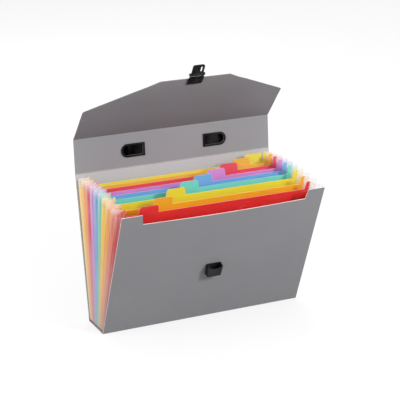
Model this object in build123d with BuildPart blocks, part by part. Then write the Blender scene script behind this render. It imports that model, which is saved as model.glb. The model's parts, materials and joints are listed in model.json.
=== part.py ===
from build123d import *
import os
from math import cos, radians, sin, sqrt

# Expanding file case: a scored grey shell round a fan of coloured dividers
# Millimetres, +Z up, front towards -Y, origin in the middle of the base on the surface it stands on
os.makedirs("parts", exist_ok=True)

# Shell, one scored sheet
panel_width = 330.0
sheet = 1.0
base_depth = 55.0
front_height = 224.0
back_rise = 3.0  # how far the back's top fold stands above the front's top edge, lid shut
lid_tuck = 2.0  # how much narrower the mouth of the closed case is than its base
flap_side = 68.0
flap_depth = 126.0
flap_tip_width = 114.0
shell_corner = 2.0
fold_clearance = 0.05

# Notch in the front panel's top edge
notch_margin = 30.0  # from the panel's side edge
notch_slope = 3.0
notch_depth = 17.0

# Leans from upright, forwards positive, degrees
front_lean = 21.25
back_lean = -11.0
handle_panel_lean = -4.9
flap_lean = 40.2
tongue_tilt = -12.0  # of the clasp's tongue against the flap

# Bellows
divider_count = 9
divider_sheet = 0.5
divider_margin = 13.0  # from the shell's side edge to the divider's end
divider_drop = 2.0  # below the front panel's height
divider_bead_radius = 0.6
shoulder_width = 4.0
shoulder_slope = 1.5
tab_height = 13.0
tab_width = 27.0
tab_slope = 1.5
tab_corner = 2.5
tab_first_margin = 25.5  # from the divider's left end to the first tab
tab_last_margin = 11.5  # from the last tab to the divider's right end
floor_thickness = 1.6
floor_side_room = 1.5  # between the bellows floor and the front and back panels
film = 0.3
film_side_room = 2.0  # from the outer crease of a flattened film to the shell's side edge
film_weld_width = 2.0  # overlap of the film on the divider's margin
film_clearance = 0.1

# Clasp on the flap's edge
clasp_width = 28.0
clasp_grip_length = 12.0  # over the flap
clasp_overhang = 5.0  # past the flap's edge
clasp_inner_thickness = 2.2
clasp_outer_thickness = 2.6
clasp_rib_height = 0.8
clasp_rib_width = 1.4
clasp_rib_pitch = 2.8
clasp_rib_count = 3
clasp_pin_radius = 1.0
clasp_barrel_radius = 2.4
clasp_knuckle_length = 5.0
clasp_knuckle_clearance = 0.3
pin_seat_clearance = 0.02
pin_running_clearance = 0.05
tongue_thickness = 2.4
tongue_length = 18.0
tongue_corner = 3.5
tongue_slot_width = 2.2
tongue_slot_length = 8.0
tongue_slot_corner = 0.7
tongue_slot_inset = 3.6  # from the tongue's right edge to the slot's middle
tongue_lip = 1.2

# Catch on the front panel
catch_width = 25.0
catch_length = 21.0
catch_depth = 9.0
catch_wall = 1.3
catch_height = 97.5
catch_mouth_width = 15.0
catch_mouth_depth = 5.0
backing_margin = 2.0
backing_thickness = 1.0

# Plates and rivets of the clasp and the catch
plate_corner = 1.5
rivet_radius = 1.5
rivet_clearance = 0.1
rivet_head_radius = 2.6
rivet_head_height = 0.8
rivet_inset = 5.0  # from the sides of the clasp and the catch

# Carrying handle on the handle panel
socket_inner_x = 49.5  # flat end of each D, from the middle of the case
socket_length = 39.5
socket_width = 21.0
socket_height = 25.5  # above the fold under the handle panel
rim_thickness = 1.6
rim_border = 3.0
housing_border = 2.0
housing_depth = 8.0
housing_wall = 1.5
housing_clearance = 0.3
strap_thickness = 2.6
strap_width = 14.0
strap_clearance = 0.3
link_length = 20.0
grip_thickness = 7.0
grip_width = 19.0
grip_edge = 0.8
foot_neck_length = 14.0
foot_room = 1.6  # between the foot's lug and the housing

# Values that follow from the sizes above
half_width = panel_width / 2
half_sheet = sheet / 2
notch_top_x = half_width - notch_margin
notch_bottom_x = notch_top_x - notch_slope
panel_start = half_sheet + fold_clearance
back_height = front_height + back_rise
handle_panel_height = base_depth - lid_tuck
divider_width = panel_width - 2 * divider_margin
divider_height = front_height - divider_drop
tab_first_x = -divider_width / 2 + tab_first_margin + tab_width / 2
tab_last_x = divider_width / 2 - tab_last_margin - tab_width / 2
tab_pitch = (tab_last_x - tab_first_x) / (divider_count - 1)
film_fold_width = divider_margin + film_weld_width - film_side_room
pocket_pitch = base_depth / (divider_count + 1)
lean_step = (front_lean - back_lean) / (divider_count + 1)
floor_top = sheet + floor_thickness


def along(start, lean, distance):
    """Point (y, z) at a distance up a sheet that leans from its fold at start."""
    angle = radians(lean)
    return start[0] - distance * sin(angle), start[1] + distance * cos(angle)


def sheet_plane(fold, lean):
    """Plane of a leaning sheet: x to the right, y up the sheet, z towards the front."""
    angle = radians(lean)
    return Plane(origin=(0, *fold), x_dir=(1, 0, 0), z_dir=(0, -cos(angle), -sin(angle)))


def section_plane(fold, lean):
    """Plane of a leaning sheet's section: x up the sheet, y towards the front, z to the right."""
    angle = radians(lean)
    return Plane(origin=(0, *fold), x_dir=(0, -sin(angle), cos(angle)), z_dir=(1, 0, 0))


def write(piece, name):
    """Label a piece and write it."""
    piece.part.label = name
    export_step(piece.part, f"parts/{name}.step")


def beaded_section(length):
    """Section of a sheet with a square lower end, a gap above its fold, and a round bead on the next fold."""
    Line((panel_start, -half_sheet), (length, -half_sheet))
    ThreePointArc((length, -half_sheet), (length + half_sheet, 0), (length, half_sheet))
    Line((length, half_sheet), (panel_start, half_sheet))
    Line((panel_start, half_sheet), (panel_start, -half_sheet))


def socket_outline(side, border):
    """D of a handle socket, grown by a border: flat end to the middle of the case, round end outwards."""
    radius = socket_width / 2 + border
    flat_x = side * (socket_inner_x - border)
    round_x = side * (socket_inner_x + socket_length - socket_width / 2)
    bottom = socket_height - radius
    top = socket_height + radius
    Line((flat_x, bottom), (round_x, bottom))
    ThreePointArc((round_x, bottom), (round_x + side * radius, socket_height), (round_x, top))
    Line((round_x, top), (flat_x, top))
    Line((flat_x, top), (flat_x, bottom))


# Folds and the planes of the panels
front_fold = (-base_depth / 2, half_sheet)
back_fold = (base_depth / 2, half_sheet)
lid_fold = along(back_fold, back_lean, back_height)
flap_fold = along(lid_fold, handle_panel_lean, handle_panel_height)
front_plane = sheet_plane(front_fold, front_lean)
handle_plane = sheet_plane(lid_fold, handle_panel_lean)
flap_plane = sheet_plane(flap_fold, flap_lean)
catch_rivet_x = catch_width / 2 - rivet_inset
catch_rivets_at = [(-catch_rivet_x, catch_height), (catch_rivet_x, catch_height)]
clasp_rivet_x = clasp_width / 2 - rivet_inset
clasp_rivet_height = flap_depth - clasp_grip_length / 2
clasp_rivets_at = [(-clasp_rivet_x, clasp_rivet_height), (clasp_rivet_x, clasp_rivet_height)]

# Bottom panel, with a round bead on each fold
with BuildPart() as bottom_panel:
    with BuildSketch(Plane.YZ):
        with Locations((0, half_sheet)):
            SlotCenterToCenter(base_depth, sheet)
    extrude(amount=half_width, both=True)
write(bottom_panel, "bottom_panel")

# Front panel, with its notch and the holes for the catch's rivets
with BuildPart() as front_panel:
    with BuildSketch(front_plane) as front_outline:
        with BuildLine():
            Polyline(
                (-half_width, panel_start),
                (half_width, panel_start),
                (half_width, front_height),
                (notch_top_x, front_height),
                (notch_bottom_x, front_height - notch_depth),
                (-notch_bottom_x, front_height - notch_depth),
                (-notch_top_x, front_height),
                (-half_width, front_height),
                close=True,
            )
        make_face()
        fillet(front_outline.vertices().sort_by(Axis.Y)[2:], radius=shell_corner)
        with Locations(*catch_rivets_at):
            Circle(rivet_radius + rivet_clearance, mode=Mode.SUBTRACT)
    extrude(amount=half_sheet, both=True)
write(front_panel, "front_panel")

# Back panel, beaded on the fold under the handle panel
with BuildPart() as back_panel:
    with BuildSketch(section_plane(back_fold, back_lean)):
        with BuildLine():
            beaded_section(back_height)
        make_face()
    extrude(amount=half_width, both=True)
write(back_panel, "back_panel")

# Handle panel, beaded on the flap's fold, with a D hole inside each handle rim
with BuildPart() as handle_panel:
    with BuildSketch(section_plane(lid_fold, handle_panel_lean)):
        with BuildLine():
            beaded_section(handle_panel_height)
        make_face()
    extrude(amount=half_width, both=True)
    for side in (-1, 1):
        with BuildSketch(handle_plane):
            with BuildLine():
                socket_outline(side, -rim_border)
            make_face()
        extrude(amount=sheet, both=True, mode=Mode.SUBTRACT)
write(handle_panel, "handle_panel")

# Closing flap, with the holes for the clasp's rivets
with BuildPart() as closing_flap:
    with BuildSketch(flap_plane) as flap_outline:
        with BuildLine():
            Polyline(
                (-half_width, panel_start),
                (half_width, panel_start),
                (half_width, flap_side),
                (flap_tip_width / 2, flap_depth),
                (-flap_tip_width / 2, flap_depth),
                (-half_width, flap_side),
                close=True,
            )
        make_face()
        fillet(flap_outline.vertices().sort_by(Axis.Y)[2:], radius=shell_corner)
        with Locations(*clasp_rivets_at):
            Circle(rivet_radius + rivet_clearance, mode=Mode.SUBTRACT)
    extrude(amount=half_sheet, both=True)
write(closing_flap, "closing_flap")

# Bellows floor, grooved for the beads of the dividers
divider_folds = []
divider_leans = []
for number in range(1, divider_count + 1):
    divider_folds.append((front_fold[0] + number * pocket_pitch, floor_top))
    divider_leans.append(front_lean - number * lean_step)

with BuildPart() as bellows_floor:
    with BuildSketch(Plane.YZ) as floor_section:
        with Locations((0, sheet + floor_thickness / 2)):
            Rectangle(base_depth - sheet - 2 * floor_side_room, floor_thickness)
        with Locations(*divider_folds):
            Circle(divider_bead_radius + fold_clearance, mode=Mode.SUBTRACT)
    extrude(amount=divider_width / 2, both=True)
write(bellows_floor, "bellows_floor")


def divider_outline(tab_x):
    """Outline of a divider: raised shoulders at both ends and one tab, over a lower edge."""
    end = divider_width / 2
    shoulder = end - shoulder_width
    edge = divider_height - tab_height
    half_tab = tab_width / 2
    Polyline(
        (-end, 0),
        (end, 0),
        (end, divider_height),
        (shoulder, divider_height),
        (shoulder - shoulder_slope, edge),
        (tab_x + half_tab + tab_slope, edge),
        (tab_x + half_tab, divider_height),
        (tab_x - half_tab, divider_height),
        (tab_x - half_tab - tab_slope, edge),
        (-shoulder + shoulder_slope, edge),
        (-shoulder, divider_height),
        (-end, divider_height),
        close=True,
    )


# Dividers, each with a round bead in its groove of the bellows floor
for number in range(1, divider_count + 1):
    fold = divider_folds[number - 1]
    divider_plane = sheet_plane(fold, divider_leans[number - 1])
    tab_x = tab_first_x + (number - 1) * tab_pitch
    with BuildPart() as divider:
        with BuildSketch(divider_plane) as outline:
            with BuildLine():
                divider_outline(tab_x)
            make_face()
            reach = tab_width / 2 + tab_slope / 2
            tab_vertices = outline.vertices().filter_by_position(Axis.X, tab_x - reach, tab_x + reach)
            fillet(tab_vertices.group_by(Axis.Y)[-1], radius=tab_corner)
        extrude(amount=divider_sheet / 2, both=True)
        with BuildSketch(Plane.YZ):
            with Locations(fold):
                Circle(divider_bead_radius)
        extrude(amount=divider_width / 2, both=True)
    write(divider, f"divider_{number}")

# Every sheet of the fan from front to back, as (fold, lean, half thickness)
fan = [(front_fold, front_lean, half_sheet)]
for fold, lean in zip(divider_folds, divider_leans):
    fan.append((fold, lean, divider_sheet / 2))
fan.append((back_fold, back_lean, half_sheet))


def face_y(leaf, height, towards):
    """Y of a sheet's face at a height: towards is 1 for its back face and -1 for its front face."""
    fold, lean, half = leaf
    angle = radians(lean)
    middle = fold[0] - (height - fold[1]) * sin(angle) / cos(angle)
    return middle + towards * (half + film_clearance) / cos(angle)


def film_half_section(leaf, other_leaf, height, side, towards):
    """Section of one half of a folded film at a height, from a sheet out to the crease."""
    start_y = face_y(leaf, height, towards)
    other_y = face_y(other_leaf, height, -towards)
    half_gap = abs(other_y - start_y) / 2
    crease_y = (start_y + other_y) / 2
    inner_x = divider_width / 2 - film_weld_width
    crease_x = inner_x + sqrt(film_fold_width**2 - half_gap**2)
    step = film * film_fold_width / half_gap
    outer = [(inner_x, start_y), (crease_x, crease_y)]
    inner = [(x - step, y) for x, y in reversed(outer)]
    Polyline(*[(side * x, y) for x, y in outer + inner], close=True)


# Gussets, one folded film at each side of every pocket, made as two halves that meet at the crease
film_bottom = floor_top + divider_bead_radius
for number in range(1, divider_count + 2):
    front_leaf = fan[number - 1]
    back_leaf = fan[number]
    film_top = min(along(leaf[0], leaf[1], divider_height)[1] for leaf in (front_leaf, back_leaf))
    for side, side_name in ((-1, "left"), (1, "right")):
        with BuildPart() as gusset:
            for leaf, other_leaf, towards in ((front_leaf, back_leaf, 1), (back_leaf, front_leaf, -1)):
                for height in (film_bottom, film_top):
                    with BuildSketch(Plane.XY.offset(height)):
                        with BuildLine():
                            film_half_section(leaf, other_leaf, height, side, towards)
                        make_face()
                loft(ruled=True)
        write(gusset, f"{side_name}_gusset_{number}")

# Catch: an open-topped box on the front panel, its backing plate and two rivets
catch_plane = front_plane.offset(half_sheet)
backing_plane = front_plane.offset(-half_sheet - backing_thickness)
with BuildPart() as catch_box:
    with BuildSketch(catch_plane):
        with Locations((0, catch_height)):
            RectangleRounded(catch_width, catch_length, plate_corner)
    extrude(amount=catch_depth)
    with BuildSketch(catch_plane.offset(catch_wall)):
        with Locations((0, catch_height + catch_wall)):
            Rectangle(catch_width - 2 * catch_wall, catch_length)
    extrude(amount=catch_depth - 2 * catch_wall, mode=Mode.SUBTRACT)
    with BuildSketch(catch_plane.offset(catch_depth - catch_wall)):
        with Locations((0, catch_height + catch_length / 2)):
            Ellipse(catch_mouth_width / 2, catch_mouth_depth)
    extrude(amount=catch_wall, mode=Mode.SUBTRACT)
write(catch_box, "catch_box")

with BuildPart() as catch_backing_plate:
    with BuildSketch(backing_plane):
        with Locations((0, catch_height)):
            RectangleRounded(catch_width - backing_margin, catch_length - backing_margin, plate_corner)
        with Locations(*catch_rivets_at):
            Circle(rivet_radius + rivet_clearance, mode=Mode.SUBTRACT)
    extrude(amount=backing_thickness)
write(catch_backing_plate, "catch_backing_plate")

with BuildPart() as catch_rivets:
    with BuildSketch(backing_plane):
        with Locations(*catch_rivets_at):
            Circle(rivet_radius)
    extrude(amount=backing_thickness + sheet)
    with BuildSketch(backing_plane):
        with Locations(*catch_rivets_at):
            Circle(rivet_head_radius)
    extrude(amount=-rivet_head_height)
write(catch_rivets, "catch_rivets")

# Clasp: two plates that grip the flap's edge, and a tongue on a pin along the edge
clasp_length = clasp_grip_length + clasp_overhang
clasp_middle = flap_depth + clasp_overhang - clasp_length / 2
inner_plane = flap_plane.offset(half_sheet)
outer_plane = flap_plane.offset(-half_sheet)
pin_height = flap_depth + clasp_overhang + clasp_barrel_radius
pin_offset = -half_sheet - clasp_outer_thickness + clasp_barrel_radius
pin_section = Plane(origin=flap_plane.from_local_coords((0, pin_height, pin_offset)), z_dir=(1, 0, 0))

with BuildPart() as clasp_inner_plate:
    with BuildSketch(inner_plane):
        with Locations((0, clasp_middle)):
            RectangleRounded(clasp_width, clasp_length, plate_corner)
        with Locations(*clasp_rivets_at):
            Circle(rivet_radius + rivet_clearance, mode=Mode.SUBTRACT)
    extrude(amount=clasp_inner_thickness)
    rib_length = 2 * (clasp_rivet_x - rivet_head_radius) - clasp_rib_width
    with BuildSketch(inner_plane.offset(clasp_inner_thickness)):
        with Locations((0, clasp_middle)):
            with GridLocations(0, clasp_rib_pitch, 1, clasp_rib_count):
                Rectangle(rib_length, clasp_rib_width)
    extrude(amount=clasp_rib_height)
write(clasp_inner_plate, "clasp_inner_plate")

knuckle_middle = (clasp_width - clasp_knuckle_length) / 2
barrel_length = clasp_width - 2 * clasp_knuckle_length - 2 * clasp_knuckle_clearance
with BuildPart() as clasp_outer_plate:
    with BuildSketch(outer_plane):
        with Locations((0, clasp_middle)):
            RectangleRounded(clasp_width, clasp_length, plate_corner)
        with Locations(*clasp_rivets_at):
            Circle(rivet_radius + rivet_clearance, mode=Mode.SUBTRACT)
    extrude(amount=-clasp_outer_thickness)
    for side in (-1, 1):
        with BuildSketch(pin_section.offset(side * knuckle_middle)):
            Circle(clasp_barrel_radius)
        extrude(amount=clasp_knuckle_length / 2, both=True)
        with BuildSketch(outer_plane):
            with Locations((side * knuckle_middle, pin_height - clasp_barrel_radius)):
                Rectangle(clasp_knuckle_length, 2 * clasp_barrel_radius)
        extrude(amount=-clasp_outer_thickness)
    with BuildSketch(pin_section):
        Circle(clasp_pin_radius + pin_seat_clearance)
    extrude(amount=clasp_width, both=True, mode=Mode.SUBTRACT)
    with BuildSketch(pin_section):
        Circle(clasp_barrel_radius + clasp_knuckle_clearance)
    extrude(amount=barrel_length / 2 + clasp_knuckle_clearance, both=True, mode=Mode.SUBTRACT)
write(clasp_outer_plate, "clasp_outer_plate")

with BuildPart() as clasp_rivets:
    with BuildSketch(outer_plane.offset(-clasp_outer_thickness)):
        with Locations(*clasp_rivets_at):
            Circle(rivet_radius)
    extrude(amount=clasp_outer_thickness + sheet + clasp_inner_thickness)
    with BuildSketch(inner_plane.offset(clasp_inner_thickness)):
        with Locations(*clasp_rivets_at):
            Circle(rivet_head_radius)
    extrude(amount=rivet_head_height)
write(clasp_rivets, "clasp_rivets")

with BuildPart() as clasp_pin:
    with BuildSketch(pin_section):
        Circle(clasp_pin_radius)
    extrude(amount=clasp_width / 2, both=True)
write(clasp_pin, "clasp_pin")

tongue_plane = Plane(
    origin=pin_section.origin,
    x_dir=(1, 0, 0),
    z_dir=sheet_plane(flap_fold, flap_lean + tongue_tilt).z_dir,
)
slot_x = barrel_length / 2 - tongue_slot_inset
slot_height = tongue_length - tongue_corner - tongue_slot_length / 2
with BuildPart() as clasp_tongue:
    with BuildSketch(pin_section):
        Circle(clasp_barrel_radius)
    extrude(amount=barrel_length / 2, both=True)
    with BuildSketch(tongue_plane) as tongue_outline:
        with Locations((0, tongue_length / 2)):
            Rectangle(barrel_length, tongue_length)
        fillet(tongue_outline.vertices().group_by(Axis.Y)[-1], radius=tongue_corner)
        with Locations((slot_x, slot_height)):
            RectangleRounded(tongue_slot_width, tongue_slot_length, tongue_slot_corner, mode=Mode.SUBTRACT)
    extrude(amount=tongue_thickness / 2, both=True)
    with BuildSketch(tongue_plane.offset(tongue_thickness / 2)):
        with Locations((0, tongue_length - tongue_corner)):
            Rectangle(2 * (slot_x - tongue_slot_width), tongue_lip)
    extrude(amount=tongue_lip)
    with BuildSketch(pin_section):
        Circle(clasp_pin_radius + pin_running_clearance)
    extrude(amount=clasp_width, both=True, mode=Mode.SUBTRACT)
write(clasp_tongue, "clasp_tongue")

# Carrying handle: rims inside the handle panel, housings outside it
half_strap = strap_thickness / 2
strap_plane = handle_plane.offset(-half_sheet - strap_clearance - half_strap)
outside_plane = handle_plane.offset(-half_sheet)
strap_slot_depth = strap_clearance + strap_thickness + housing_clearance
strap_slot_width = strap_width + 2 * housing_clearance
strap_section = Plane(strap_plane.origin, x_dir=(1, 0, 0), z_dir=strap_plane.y_dir).offset(socket_height)
strap_start = half_strap + fold_clearance
slot_wall_x = socket_inner_x - housing_border + housing_wall / 2
pivot_x = socket_inner_x - housing_border - housing_clearance - half_strap
grip_half_length = pivot_x - link_length
neck_start = pivot_x + strap_start
lug_start = neck_start + foot_neck_length
lug_end = socket_inner_x + socket_length - socket_width / 2 - foot_room
lug_thickness = housing_depth - housing_wall - strap_clearance - foot_room
for side, side_name in ((-1, "left"), (1, "right")):
    with BuildPart() as rim:
        with BuildSketch(handle_plane.offset(half_sheet)):
            with BuildLine():
                socket_outline(side, 0)
            make_face()
        extrude(amount=rim_thickness)
        with BuildSketch(handle_plane.offset(half_sheet)):
            with BuildLine():
                socket_outline(side, -rim_border)
            make_face()
        extrude(amount=rim_thickness, mode=Mode.SUBTRACT)
    write(rim, f"handle_rim_{side_name}")

    with BuildPart() as housing:
        with BuildSketch(outside_plane):
            with BuildLine():
                socket_outline(side, housing_border)
            make_face()
        extrude(amount=-housing_depth)
        with BuildSketch(outside_plane):
            with BuildLine():
                socket_outline(side, housing_border - housing_wall)
            make_face()
        extrude(amount=-(housing_depth - housing_wall), mode=Mode.SUBTRACT)
        with BuildSketch(outside_plane):
            with Locations((side * slot_wall_x, socket_height)):
                Rectangle(2 * housing_wall, strap_slot_width)
        extrude(amount=-strap_slot_depth, mode=Mode.SUBTRACT)
    write(housing, f"handle_housing_{side_name}")

    # Foot: a neck through the housing's slot and a lug that keeps it inside
    with BuildPart() as foot:
        with BuildSketch(strap_plane):
            with Locations((side * (neck_start + lug_start) / 2, socket_height)):
                Rectangle(foot_neck_length, strap_width)
        extrude(amount=half_strap, both=True)
        with BuildSketch(strap_plane.offset(half_strap)):
            with Locations((side * (lug_start + lug_end) / 2, socket_height)):
                Rectangle(lug_end - lug_start, strap_width)
        extrude(amount=-lug_thickness)
    write(foot, f"handle_foot_{side_name}")

    # Link: a bar with round ends on its two pivots
    link_middle = grip_half_length + link_length / 2
    with BuildPart() as link:
        with BuildSketch(strap_section):
            with Locations((side * link_middle, 0)):
                SlotCenterToCenter(link_length, strap_thickness)
        extrude(amount=strap_width / 2, both=True)
    write(link, f"handle_link_{side_name}")

# Grip: a bar that swells outwards between its two hinges
grip_end = grip_half_length - strap_start
grip_shoulder = grip_end - strap_thickness
grip_crown = grip_thickness - half_strap
with BuildPart() as handle_grip:
    with BuildSketch(strap_section):
        with BuildLine():
            Line((-grip_end, -half_strap), (grip_end, -half_strap))
            Line((grip_end, -half_strap), (grip_end, half_strap))
            Line((grip_end, half_strap), (grip_shoulder, half_strap))
            ThreePointArc((grip_shoulder, half_strap), (0, grip_crown), (-grip_shoulder, half_strap))
            Line((-grip_shoulder, half_strap), (-grip_end, half_strap))
            Line((-grip_end, half_strap), (-grip_end, -half_strap))
        make_face()
    extrude(amount=grip_width / 2, both=True)
    grip_sides = handle_grip.faces().filter_by(Axis((0, 0, 0), strap_plane.y_dir))
    fillet(grip_sides.edges(), radius=grip_edge)
write(handle_grip, "handle_grip")
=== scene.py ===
"""Looks of an expanding file case: grey shell, coloured dividers and pleated film sides."""

import json
import logging
from contextlib import contextmanager
from dataclasses import dataclass, field
from enum import Enum
from functools import cache
from math import asin, atan2, cos, degrees, pi, radians, sin
from typing import Any, Callable, Iterator, Protocol, Sequence

import bmesh
import bpy
from mathutils import Matrix, Vector

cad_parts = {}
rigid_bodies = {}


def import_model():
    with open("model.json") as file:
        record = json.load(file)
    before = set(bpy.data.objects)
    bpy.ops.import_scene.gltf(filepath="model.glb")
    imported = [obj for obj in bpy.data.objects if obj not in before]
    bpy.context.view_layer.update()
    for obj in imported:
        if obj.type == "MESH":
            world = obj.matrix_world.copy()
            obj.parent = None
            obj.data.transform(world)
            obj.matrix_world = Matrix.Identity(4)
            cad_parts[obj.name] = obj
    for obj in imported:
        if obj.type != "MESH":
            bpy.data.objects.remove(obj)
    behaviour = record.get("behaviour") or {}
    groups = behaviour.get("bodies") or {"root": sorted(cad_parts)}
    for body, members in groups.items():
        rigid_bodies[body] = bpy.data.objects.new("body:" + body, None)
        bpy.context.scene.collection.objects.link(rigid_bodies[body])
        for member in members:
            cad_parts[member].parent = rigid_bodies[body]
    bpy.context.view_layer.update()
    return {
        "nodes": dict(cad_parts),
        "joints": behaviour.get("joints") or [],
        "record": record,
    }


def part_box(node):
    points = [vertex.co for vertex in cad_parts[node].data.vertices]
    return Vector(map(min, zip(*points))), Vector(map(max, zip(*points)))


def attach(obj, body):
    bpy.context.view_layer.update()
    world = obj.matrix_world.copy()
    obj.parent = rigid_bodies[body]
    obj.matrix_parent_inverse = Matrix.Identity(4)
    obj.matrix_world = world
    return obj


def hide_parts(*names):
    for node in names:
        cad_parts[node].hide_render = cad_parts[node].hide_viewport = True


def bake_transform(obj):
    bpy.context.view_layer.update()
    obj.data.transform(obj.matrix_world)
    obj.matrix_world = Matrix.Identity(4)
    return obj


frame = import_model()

log = logging.getLogger("file_case")

MM = 0.001

Colour = tuple[float, float, float]
Span = tuple[float, float]
Where = Callable[[Vector, Vector], bool]
Piece = bpy.types.Object
Node = bpy.types.Node
Socket = bpy.types.NodeSocket
Outputs = bpy.types.bpy_prop_collection

WHITE: Colour = (1.0, 1.0, 1.0)
INK: Colour = (0.0, 0.0, 0.0)
FULL: Span = (0.0, 1.0)

SRGB_TOP = 255
SRGB_FOOT, SRGB_FOOT_SLOPE = 0.04045, 12.92
SRGB_LIFT, SRGB_SCALE, SRGB_POWER = 0.055, 1.055, 2.4


class Pick(Enum):
    """Kind of element that a selection takes."""

    POINT = "VERT"
    EDGE = "EDGE"
    FACE = "FACE"


class Axis(Enum):
    """Axis of the bench, with the turn that lays a cylinder along it."""

    X = (0.0, pi / 2, 0.0)
    Y = (pi / 2, 0.0, 0.0)
    Z = (0.0, 0.0, 0.0)


class Side(Enum):
    """Side of the case, with the sign of its x."""

    LEFT = -1
    RIGHT = 1

    @property
    def word(self) -> str:
        """Name of the side in piece names."""
        return self.name.lower()


class Hue(Enum):
    """Colours of the dividers, from front to back, as sRGB."""

    RED = (236, 50, 52)
    ORANGE = (255, 177, 44)
    YELLOW = (255, 222, 60)
    TEAL = (122, 219, 204)
    BLUE = (124, 178, 240)
    VIOLET = (220, 148, 217)
    CRIMSON = (238, 82, 98)
    AMBER = (255, 181, 72)
    GOLD = (255, 219, 84)

    @property
    def word(self) -> str:
        """Name of the colour in material slots."""
        return self.name.lower()

    @property
    def colour(self) -> Colour:
        """The colour as shader sockets take it."""
        return srgb(*self.value)


def srgb(red: float, green: float, blue: float) -> Colour:
    """Linear colour of an sRGB colour.

    Args:
        red: Red from 0 to 255.
        green: Green from 0 to 255.
        blue: Blue from 0 to 255.

    Returns:
        The colour as shader sockets take it.
    """
    shares = [value / SRGB_TOP for value in (red, green, blue)]
    return tuple(
        share / SRGB_FOOT_SLOPE
        if share <= SRGB_FOOT
        else ((share + SRGB_LIFT) / SRGB_SCALE) ** SRGB_POWER
        for share in shares
    )


def towards(colour: Colour, other: Colour, share: float) -> Colour:
    """Colour that goes a share of the way to another, from 0 to 1."""
    return tuple(a + (b - a) * share for a, b in zip(colour, other))


# Shader nodes


class Graph:
    """A node tree with short ways to add, feed and join its nodes."""

    MIX_INPUTS = (0, 6, 7)
    MIX_RESULT = 2

    def __init__(self, tree: bpy.types.NodeTree) -> None:
        """Keep the tree."""
        self.tree = tree

    def feed(self, node: Node, name: str | int, value: Any) -> None:
        """Link a socket into an input, or set the input to a plain value.

        Args:
            node: Node with the input.
            name: Name or number of the input.
            value: Output socket, number, vector or colour.
        """
        target = node.inputs[name]
        if isinstance(value, Socket):
            self.tree.links.new(value, target)
        elif target.type == "RGBA":
            target.default_value = (*value, 1.0)
        else:
            target.default_value = value

    def add(self, kind: str, inputs: dict[str | int, Any] | None = None, **settings: Any) -> Node:
        """Add a node.

        Args:
            kind: Blender's name of the node type.
            inputs: Values or sockets for its inputs.
            **settings: Properties of the node.

        Returns:
            The new node.
        """
        node = self.tree.nodes.new(kind)
        for name, value in settings.items():
            setattr(node, name, value)
        for name, value in (inputs or {}).items():
            self.feed(node, name, value)
        return node

    def group(self, tree: bpy.types.NodeTree, inputs: dict[str, Any]) -> Outputs:
        """Place a shared effect, feed its inputs and give its outputs."""
        return self.add("ShaderNodeGroup", inputs, node_tree=tree).outputs

    def sums(self, operation: str, first: Any, second: Any) -> Socket:
        """Do one sum, by Blender's name of the operation, on two values or sockets."""
        return self.add("ShaderNodeMath", {0: first, 1: second}, operation=operation).outputs[0]

    def part(self, value: Socket, share: Any) -> Socket:
        """Take a share of a value."""
        return self.sums("MULTIPLY", value, share)

    def mix(self, share: Any, first: Any, second: Any) -> Socket:
        """Mix a share of a second colour into a first one."""
        inputs = dict(zip(self.MIX_INPUTS, (share, first, second)))
        return self.add("ShaderNodeMix", inputs, data_type="RGBA").outputs[self.MIX_RESULT]

    def span(self, value: Socket, given: Span, wanted: Span = FULL) -> Socket:
        """Stretch a value from one range to another, held at its ends.

        Args:
            value: Socket to stretch.
            given: Values that give the ends of the wanted range.
            wanted: Range of the result.

        Returns:
            The stretched value's socket.
        """
        names = ("From Min", "From Max", "To Min", "To Max")
        ends = dict(zip(names, (*given, *wanted)))
        return self.add("ShaderNodeMapRange", {"Value": value, **ends}).outputs[0]

    def noise(self, place: Socket, waves: Any, octaves: float = 2.0) -> Socket:
        """Noise over a place, of about 0.3 to 0.7, with so many waves a metre."""
        inputs = {"Vector": place, "Scale": waves, "Detail": octaves}
        return self.add("ShaderNodeTexNoise", inputs).outputs[0]

    def bump(self, shader: Node, height: Socket, depth: float, strength: float) -> None:
        """Give a shader relief.

        Args:
            shader: Shader that gets the relief.
            height: Height from 0 to 1.
            depth: Depth of the relief in metres.
            strength: Share of the relief that shows.
        """
        inputs = {"Strength": strength, "Distance": depth, "Height": height}
        self.feed(shader, "Normal", self.add("ShaderNodeBump", inputs).outputs["Normal"])

    def seen(self) -> Socket:
        """Mask of the rays that show the background: from the camera, off gloss and through film.

        Returns:
            The mask's socket.
        """
        path = self.add("ShaderNodeLightPath").outputs
        direct = self.sums("ADD", path["Is Camera Ray"], path["Is Glossy Ray"])
        return self.sums("MINIMUM", self.sums("ADD", direct, path["Is Transmission Ray"]), 1.0)


# Values of the shared effects: waves are counted a metre, and a span is the range of noise that
# is stretched to a mask from 0 to 1
WANDER_WAVES, WANDER_TURN = 140.0, 9.0
WEAVE_SHARE = 0.2
GRIT_PER_THREAD = 0.55
GRIT_SPAN: Span = (0.32, 0.68)
DRIFT_OCTAVES, DRIFT_SPAN = 4.0, (0.34, 0.66)
RUB_STRETCH = (0.12, 1.0, 1.0)
RUB_OCTAVES, RUB_SPAN = 5.0, (0.58, 0.72)
PATCH_WAVES, PATCH_SPAN = 22.0, (0.45, 0.62)


def new_effect(
    name: str, number: str, outputs: Sequence[str]
) -> tuple[bpy.types.NodeTree, Graph, Socket, Socket, Node]:
    """Start a shared effect.

    Args:
        name: Name of the node group.
        number: Name of its one input beside Vector, a value.
        outputs: Names of the outputs, all values.

    Returns:
        The group, its graph, the sockets of its two inputs and its output node.
    """
    tree = bpy.data.node_groups.new(name, "ShaderNodeTree")
    for label, kind in (("Vector", "NodeSocketVector"), (number, "NodeSocketFloat")):
        tree.interface.new_socket(label, in_out="INPUT", socket_type=kind)
    for label in outputs:
        tree.interface.new_socket(label, in_out="OUTPUT", socket_type="NodeSocketFloat")
    graph = Graph(tree)
    given = graph.add("NodeGroupInput").outputs
    return tree, graph, given["Vector"], given[number], graph.add("NodeGroupOutput")


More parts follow.
